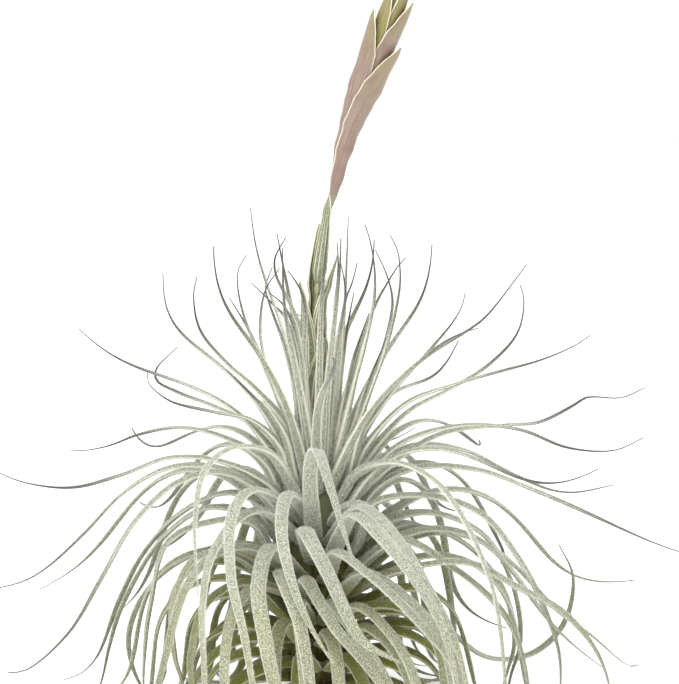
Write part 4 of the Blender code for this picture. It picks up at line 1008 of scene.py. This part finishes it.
def collar_profile(tier):
    """The collar's section: it fits the stem with GAP to spare, and stops GAP below the next one."""
    pitches = np.diff(TIER_HEIGHTS)
    below = pitches[max(tier - 2, 0)] * COLLAR_BELOW
    above = pitches[min(tier - 1, TIER_COUNT - 2)] * (1.0 - COLLAR_BELOW) - GAP
    low, high = TIER_HEIGHTS[tier - 1] - below, TIER_HEIGHTS[tier - 1] + above
    outer = collar_radius(tier)
    flats = math.cos(math.pi / COLLAR_SIDES)
    return [
        ((stem_radius_at(low) + GAP) / flats, low),
        (outer - COLLAR_BEVEL, low),
        (outer, (low + high) / 2.0),
        (outer - COLLAR_BEVEL, high),
        ((stem_radius_at(high) + GAP) / flats, high),
    ]


obstacles = [tube_rings(np.linspace(0.0, SCAPE_LENGTH, SCAPE_RINGS), SCAPE_SIDES)]
obstacles += [tube_rings(np.linspace(BUD_START, BUD_START + BUD_LENGTH, BUD_RINGS), BUD_SIDES)]
obstacles += [bract_rings(i, bract_stations(i), bract.points) for i, bract in enumerate(bracts)]
nothing = tree_of([])
standing = [(0, tree_of(rings), nothing) for rings in obstacles]
for tier in range(1, TIER_COUNT + 1):
    standing.append((tier, tree_of(round_rings(collar_profile(tier), COLLAR_TEST_SIDES)), nothing))
grown = []
for leaf in leaf_plan():
    line = settle(leaf, standing)
    rings = solid_rings(line, leaf, 0.0)
    standing.append((leaf.tier, tree_of(rings), tree_of(rings[SHEATH_RINGS:])))
    grown.append((leaf, line))

# The look of a leaf: fleshy silver-green skin with pale margins, grey at the thread-like tip, and bare and
# olive low down by the stem. The pale margins are partly the fringe of hairs and partly painted highlight;
# the olive low down is partly the bare bases' own colour and partly painted shade deep in the rosette; and
# leaves that come forwards are painted whiter, as painted light. A coat of short white hairs, the
# trichomes, grows on it, drinks the dew and fringes every edge. The dry brown sheaths of the oldest leaves
# fill the middle of the tiers; seen in the gaps between leaves, their dark brown is partly painted shade,
# and the young grey-green among them is painted shade.
LEAF_RINGS = 48
LEAF_CORNERS = 12
CORE_SIDES = 48
CORE_CORNER = 1

# How the fine leaf differs from its solid. FULLNESS gives its width by tier, against the solid's. Its
# edges hang by DOME, a share of the cup, up to HOLLOW_FROM, the shares of its length where it turns into
# a channel. A TIP_HOLLOW below 0 sinks its back.
SKIN_THICKNESS = 0.97
SHOULDER_LENGTH = 44.0 * MM
SHOULDER_SWELL = 0.35
OLD_SHOULDER_SWELL = 0.55
SHOULDER_THICKNESS = 1.0
FULLNESS = [(10, 1.1), (12, 0.97)]
FRONT_FULLNESS = 0.95
FRONT_SWELL = 0.35
DOME = -0.3
HOLLOW_FROM = (0.35, 0.8)
TIP_HOLLOW = -0.2

# A leaf's tone is how white its hairs look: drawn at random up to MOST_TONE, and FRONT_TONE where it comes
# forwards towards the light in front, which is painted light, as is the extra white of such a leaf's skin.
# Its ripeness, by tier, is how far towards grey its tip goes.
FRONT_TONE = 1.0
MOST_TONE = 0.7
FRONT_PAINTED_LIGHT = 0.1
FRONT_RIPENESS = 0.6
TIP_RIPENESS = [(6, 0.76), (9, 1.12), (12, 1.0)]
GREY_FROM = (0.52, 0.92)

HAIRS_PER_SQUARE_MM = 3.0
HAIR_LENGTH = 0.6 * MM
HAIR_LENGTH_SPREAD = (0.55, 1.25)
TIP_HAIR_SHORTENING = 0.45
TIP_HAIR_THINNING = 0.8
TIP_THINNED_FROM = (0.55, 0.9)
HAIR_WIDTH = 0.19 * MM
HAIR_LIFT = 0.75
HAIR_LEAN = 0.55
HAIR_SCATTER = 0.5
MARGIN_HAIRS = 2.6
MARGIN_HAIRS_FROM = 0.8
MARGIN_START = 0.75
MARGIN_SOFTNESS = 0.12
DOTS_PER_METRE = 2200.0
DOT_EDGE = (0.2, 0.56)
DOT_HEIGHT = 0.15 * MM
PATCHES_PER_METRE = 120.0
OLD_MARGIN_NARROWING = 0.12
OLD_MARGIN_FADING = 0.3
STRIPES = 3.0
STRIPE_STRENGTH = 0.7
STRIPED_AGES = (0.04, 0.2)

# A leaf is olive below these heights and within this reach of the stem, partly its bare bases' own colour
# and partly painted shade deep in the rosette. One that comes forwards counts as further out by
# FRONT_CLEARANCE, so it gets less of that painted shade.
OLIVE_HEIGHTS = (58.0 * MM, 92.0 * MM)
OLIVE_REACH = (38.0 * MM, 88.0 * MM)
FRONT_CLEARANCE = 18.0 * MM
OLIVE_BARENESS = 0.85
OLIVE_RAGGEDNESS = 20.0 * MM

SHEATH_STREAKS_PER_METRE = 500.0
SHEATH_STREAK_DEPTH = 0.3 * MM
LEAF_GREEN = (132, 137, 110)
LEAF_OLIVE = (124, 126, 32)
LEAF_TIP = (84, 78, 70)
LEAF_DOT = (246, 248, 234)
LOW_DOT = (243, 242, 208)
LEAF_FRINGE_AND_HIGHLIGHT = (253, 252, 233)
HAIR_WHITE = (250, 251, 242)
HAIR_GREY = (110, 105, 96)
# The core shows in the gaps between leaves: its old brown is partly dead sheath and partly painted shade,
# and its young grey-green is painted shade.
OLD_SHEATH = (66, 58, 22)
OLD_SHEATH_EDGE = (124, 116, 44)
YOUNG_SHEATH_SHADE = (104, 108, 76)

leaf_skin, place = finish("leaf_skin", Roughness=0.8, Sheen_Weight=0.45, Sheen_Roughness=0.4)
along, across, tone, age = marks_of(place, "along", "across", "tone", "age")
cells = place.node("ShaderNodeTexVoronoi", {"Vector": place, "Scale": DOTS_PER_METRE})
dots = 1.0 - cells.step(*DOT_EDGE)
patches = place.noise(PATCHES_PER_METRE, 2.0) - 0.5
spot = [place.node("ShaderNodeSeparateXYZ", {"Vector": place}, output=i) for i in range(3)]
from_stem = (spot[0] ** 2.0 + spot[1] ** 2.0) ** 0.5
tip = (along + 0.06 * patches).step(*GREY_FROM)
body = tip.mixed(tint(*LEAF_GREEN), tint(*LEAF_TIP))
# Painted shade, in part: low down and near the stem the skin turns olive, with fewer and yellower dots.
low_down = 1.0 - (spot[2] + OLIVE_RAGGEDNESS * patches).step(*OLIVE_HEIGHTS)
# Painted light: leaves that come forwards, towards the light in front, get a whiter skin and less of the
# painted shade of olive.
in_front = tone.step(MOST_TONE, FRONT_TONE)
olive = low_down * (1.0 - (from_stem + FRONT_CLEARANCE * in_front).step(*OLIVE_REACH))
body = olive.mixed(body, tint(*LEAF_OLIVE))
cover = dots * (0.8 + 0.2 * tone) + FRONT_PAINTED_LIGHT * in_front
cover = cover * (1.0 - tip) * (1.0 - OLIVE_BARENESS * olive)
fading = 1.0 - OLD_MARGIN_FADING * age.step(0.2, 0.5)
# The pale margin is partly the dense fringe of hairs and partly painted highlight where the edges catch the
# light.
outer = (abs(across) - OLD_MARGIN_NARROWING * age).step(MARGIN_START, MARGIN_START + MARGIN_SOFTNESS)
stripes = across.maths("COSINE", across * (STRIPES * math.pi)).step(0.7, 0.98)
stripes = stripes * (1.0 - age.step(*STRIPED_AGES)) * STRIPE_STRENGTH
margin = outer.maths("MAXIMUM", outer, stripes) * along.step(0.03, 0.15) * (1.0 - tip) * fading
dot_tint = low_down.mixed(tint(*LEAF_DOT), tint(*LOW_DOT))
margin.mixed(cover.mixed(body, dot_tint), tint(*LEAF_FRINGE_AND_HIGHLIGHT)).feed("Base Color")
bumped(place, dots, DOT_HEIGHT)

hair, place = finish("leaf_hair", Roughness=0.7, Sheen_Weight=0.2)
along, tone = marks_of(place, "along", "tone")
# Painted light, in part: hairs of leaves that come forwards are whiter.
grey = along.step(0.6, 1.0) * 0.85 + 0.1 * (1.0 - tone)
grey.mixed(tint(*HAIR_WHITE), tint(*HAIR_GREY)).feed("Base Color")

# Painted shade, in part: the core between the tiers is dark so that the gaps between leaves read as shadow;
# dark brown where old, dark grey-green where young.
old_sheath_and_shade, place = finish("old_sheath_and_shade", Roughness=0.85)
streaks = place.noise(SHEATH_STREAKS_PER_METRE, 3.0, (1.0, 1.0, 0.3))
brown = streaks.step(0.35, 0.7).mixed(tint(*OLD_SHEATH), tint(*OLD_SHEATH_EDGE))
marks_of(place, "age")[0].step(0.3, 0.6).mixed(tint(*YOUNG_SHEATH_SHADE), brown).feed("Base Color")
bumped(place, streaks, SHEATH_STREAK_DEPTH)


def fine_leaf(line, leaf):
    """A finely ringed leaf's corners, how far across it each is, and each ring's share of its length.

    Its shoulder, where it leaves the stem, is wide, thick and domed, and its tip is a hollow channel.
    """
    run = run_of(line)
    shares = np.linspace(0.0, 1.0, LEAF_RINGS)
    points, frames = leaf_frames(line, shares * run[-1], run)
    swell = SHOULDER_SWELL + OLD_SHOULDER_SWELL * eased(leaf.tier, YOUNG_TIER, OLD_TIER)
    full = np.interp(leaf.tier, *zip(*FULLNESS))
    if leaf.wide > 1.0:
        swell, full = swell * FRONT_SWELL, FRONT_FULLNESS
    rings = []
    for point, share, (_, side, normal) in zip(points, shares, frames):
        along = share * run[-1]
        half_width, _, _ = leaf_sizes(max(along, SHEATH_LENGTH), run[-1], leaf.tier, leaf.wide)
        _, thickness, cup = leaf_sizes(along, run[-1], leaf.tier, leaf.wide)
        shoulder = 1.0 - eased(along, SHEATH_MIDDLE, SHOULDER_LENGTH)
        half_width *= full + swell * shoulder
        thickness *= SKIN_THICKNESS + SHOULDER_THICKNESS * shoulder
        hollow = eased(share, *HOLLOW_FROM)
        cup *= DOME + (1.0 - DOME) * hollow
        puff = 1.0 + (TIP_HOLLOW - 1.0) * hollow
        ring, across = blade_ring(point, side, normal, half_width, thickness, cup, puff, LEAF_CORNERS)
        ring[:, 2] = np.maximum(ring[:, 2], 0.0)
        rings.append(ring)
    return np.array(rings), across, shares


def hairs_on(rings, across, shares, clearance, draw):
    """Slivers that stand on a leaf: three corners each, and how far along the leaf they are.

    They grow thickly on the margins, and thinly at the tip and where the leaf is olive.
    """
    following = np.roll(rings, -1, axis=1)
    centres = rings.mean(axis=1)
    widths = np.linalg.norm(following - rings, axis=2)
    strides = np.linalg.norm(np.diff(centres, axis=0), axis=1)
    areas = (widths[:-1] + widths[1:]) / 2.0 * strides[:, None]
    at_margin = np.abs(across + np.roll(across, -1)) / 2.0 > MARGIN_HAIRS_FROM
    from_stem = np.hypot(centres[:-1, 0], centres[:-1, 1]) + clearance
    olive = (1.0 - eased(centres[:-1, 2], *OLIVE_HEIGHTS)) * (1.0 - eased(from_stem, *OLIVE_REACH))
    thinned = 1.0 - TIP_HAIR_THINNING * eased(shares[:-1], *TIP_THINNED_FROM)
    thinned *= 1.0 - OLIVE_BARENESS * olive
    wanted = areas * np.where(at_margin, MARGIN_HAIRS, 1.0) * thinned[:, None]
    count = int(wanted.sum() / MM**2 * HAIRS_PER_SQUARE_MM)
    cell = draw.choice(wanted.size, size=count, p=(wanted / wanted.sum()).ravel())
    ring, side = np.divmod(cell, wanted.shape[1])
    a, b = draw.random((2, count, 1))
    near = rings[ring, side] * (1.0 - a) + following[ring, side] * a
    far = rings[ring + 1, side] * (1.0 - a) + following[ring + 1, side] * a
    foot = near * (1.0 - b) + far * b
    tangent = unit(far - near)
    normal = unit(np.cross(following[ring, side] - rings[ring, side], tangent))
    normal *= np.sign(np.sum(normal * (foot - centres[ring]), axis=1))[:, None]
    way = unit(normal * HAIR_LIFT + tangent * HAIR_LEAN + draw.normal(0.0, HAIR_SCATTER, (count, 3)))
    share = shares[ring][:, None]
    length = HAIR_LENGTH * draw.uniform(*HAIR_LENGTH_SPREAD, (count, 1))
    length *= 1.0 - TIP_HAIR_SHORTENING * share
    flat = unit(np.cross(way, draw.normal(0.0, 1.0, (count, 3)))) * HAIR_WIDTH / 2.0
    corners = np.stack([foot - flat, foot + flat, foot + way * length], axis=1)
    corners[:, :, 2] = np.maximum(corners[:, :, 2], 0.0)
    return corners.reshape(-1, 3), np.repeat(share[:, 0], 3)


def hair_piece(name, corners, shares, tones):
    """One mesh of slivers, too many to draw by one operator each."""
    mesh = bpy.data.meshes.new(name)
    mesh.from_pydata(corners, [], np.arange(len(corners)).reshape(-1, 3))
    for mark_name, values in (("along", shares), ("tone", tones)):
        marked = mesh.attributes.new(mark_name, "FLOAT", "POINT")
        marked.data.foreach_set("value", values.astype(np.float32))
    add_piece(name, mesh, hair, "leaf")


core = new_form()
ages = np.linspace(1.0, 0.0, TIER_COUNT)
profile = [collar_profile(tier)[CORE_CORNER] for tier in range(1, TIER_COUNT + 1)]
loft(core, round_rings(profile, CORE_SIDES), {"age": ages[:, None]})
shown("old_sheath_core", core, old_sheath_and_shade, "leaf")

for tier, age in enumerate(ages, 1):
    draw = np.random.default_rng([SEED, tier])
    shape = new_form()
    hair_corners, hair_shares, hair_tones = [], [], []
    for leaf, line in grown:
        if leaf.tier != tier:
            continue
        in_front = leaf.wide > 1.0
        # Painted light: a leaf that comes forwards gets the whitest tone.
        tone = FRONT_TONE if in_front else MOST_TONE * draw.random()
        rings, across, shares = fine_leaf(line, leaf)
        ripeness = shares * (FRONT_RIPENESS if in_front else np.interp(tier, *zip(*TIP_RIPENESS)))
        marks = {
            "across": across[None, :],
            "along": ripeness[:, None],
            "tone": np.full((1, 1), tone),
            "age": np.full((1, 1), age),
        }
        loft(shape, list(rings), marks)
        corners, places = hairs_on(rings, across, ripeness, FRONT_CLEARANCE * in_front, draw)
        hair_corners.append(corners)
        hair_shares.append(places)
        hair_tones.append(np.full(len(places), tone))
    shown(f"leaves_{tier:02d}", shape, leaf_skin, "leaf", f"leaf_tier_{tier:02d}")
    hair_piece(f"hairs_{tier:02d}", *[np.concatenate(v) for v in (hair_corners, hair_shares, hair_tones)])

# The studio: a large pale floor, soft white light from all round with a little more from above and in
# front, and the camera at the photograph's distance, height and framing.
IMAGE_HEIGHT = 684
PIXEL_SIZE = 0.4 * MM
SENSOR = 36.0
AIM_LIFT = 1.0 * MM
FLOOR_HALF = 30.0
FLOOR_GLOW = 0.35
SKY_STRENGTH = 1.0
KEY_PLACE = (-0.5, -0.9, 1.4)
KEY_SIZE = 1.2
KEY_POWER = 12.0

pale, place = finish("pale_floor", Roughness=0.9, Emission_Strength=FLOOR_GLOW)
grain = place.noise(3.0, 2.0)
grain.mixed(tint(250, 250, 250), tint(246, 246, 246)).feed("Base Color")
pale.node_tree.nodes["Principled BSDF"].inputs["Emission Color"].default_value = (1.0, 1.0, 1.0, 1.0)
ground = bmesh.new()
bmesh.ops.create_grid(ground, x_segments=1, y_segments=1, size=FLOOR_HALF)
mesh = bpy.data.meshes.new("floor")
ground.to_mesh(mesh)
ground.free()
mesh.materials.append(pale)
floor = placed("floor", mesh)

world = bpy.data.worlds.new("white studio")
world.use_nodes = True
world.node_tree.nodes["Background"].inputs["Color"].default_value = (1.0, 1.0, 1.0, 1.0)
world.node_tree.nodes["Background"].inputs["Strength"].default_value = SKY_STRENGTH
bpy.context.scene.world = world
bpy.context.scene.view_settings.view_transform = "Standard"

aim = Vector((VIEW_AIM[0], 0.0, VIEW_AIM[1] + AIM_LIFT))
lamp = bpy.data.lights.new("key", "AREA")
lamp.shape = "DISK"
lamp.size = KEY_SIZE
lamp.energy = KEY_POWER
key = placed("key", lamp)
key.location = KEY_PLACE
key.rotation_euler = (aim - Vector(KEY_PLACE)).to_track_quat("-Z", "Y").to_euler()

lens = bpy.data.cameras.new("camera")
lens.sensor_width = SENSOR
lens.lens = SENSOR * VIEW_DISTANCE / (IMAGE_HEIGHT * PIXEL_SIZE)
lens.clip_start = 0.01
camera = placed("camera", lens)
back = Vector((0.0, -math.cos(VIEW_TILT), math.sin(VIEW_TILT)))
camera.location = aim + back * VIEW_DISTANCE
camera.rotation_euler = (-back).to_track_quat("-Z", "Y").to_euler()
bpy.context.scene.camera = camera
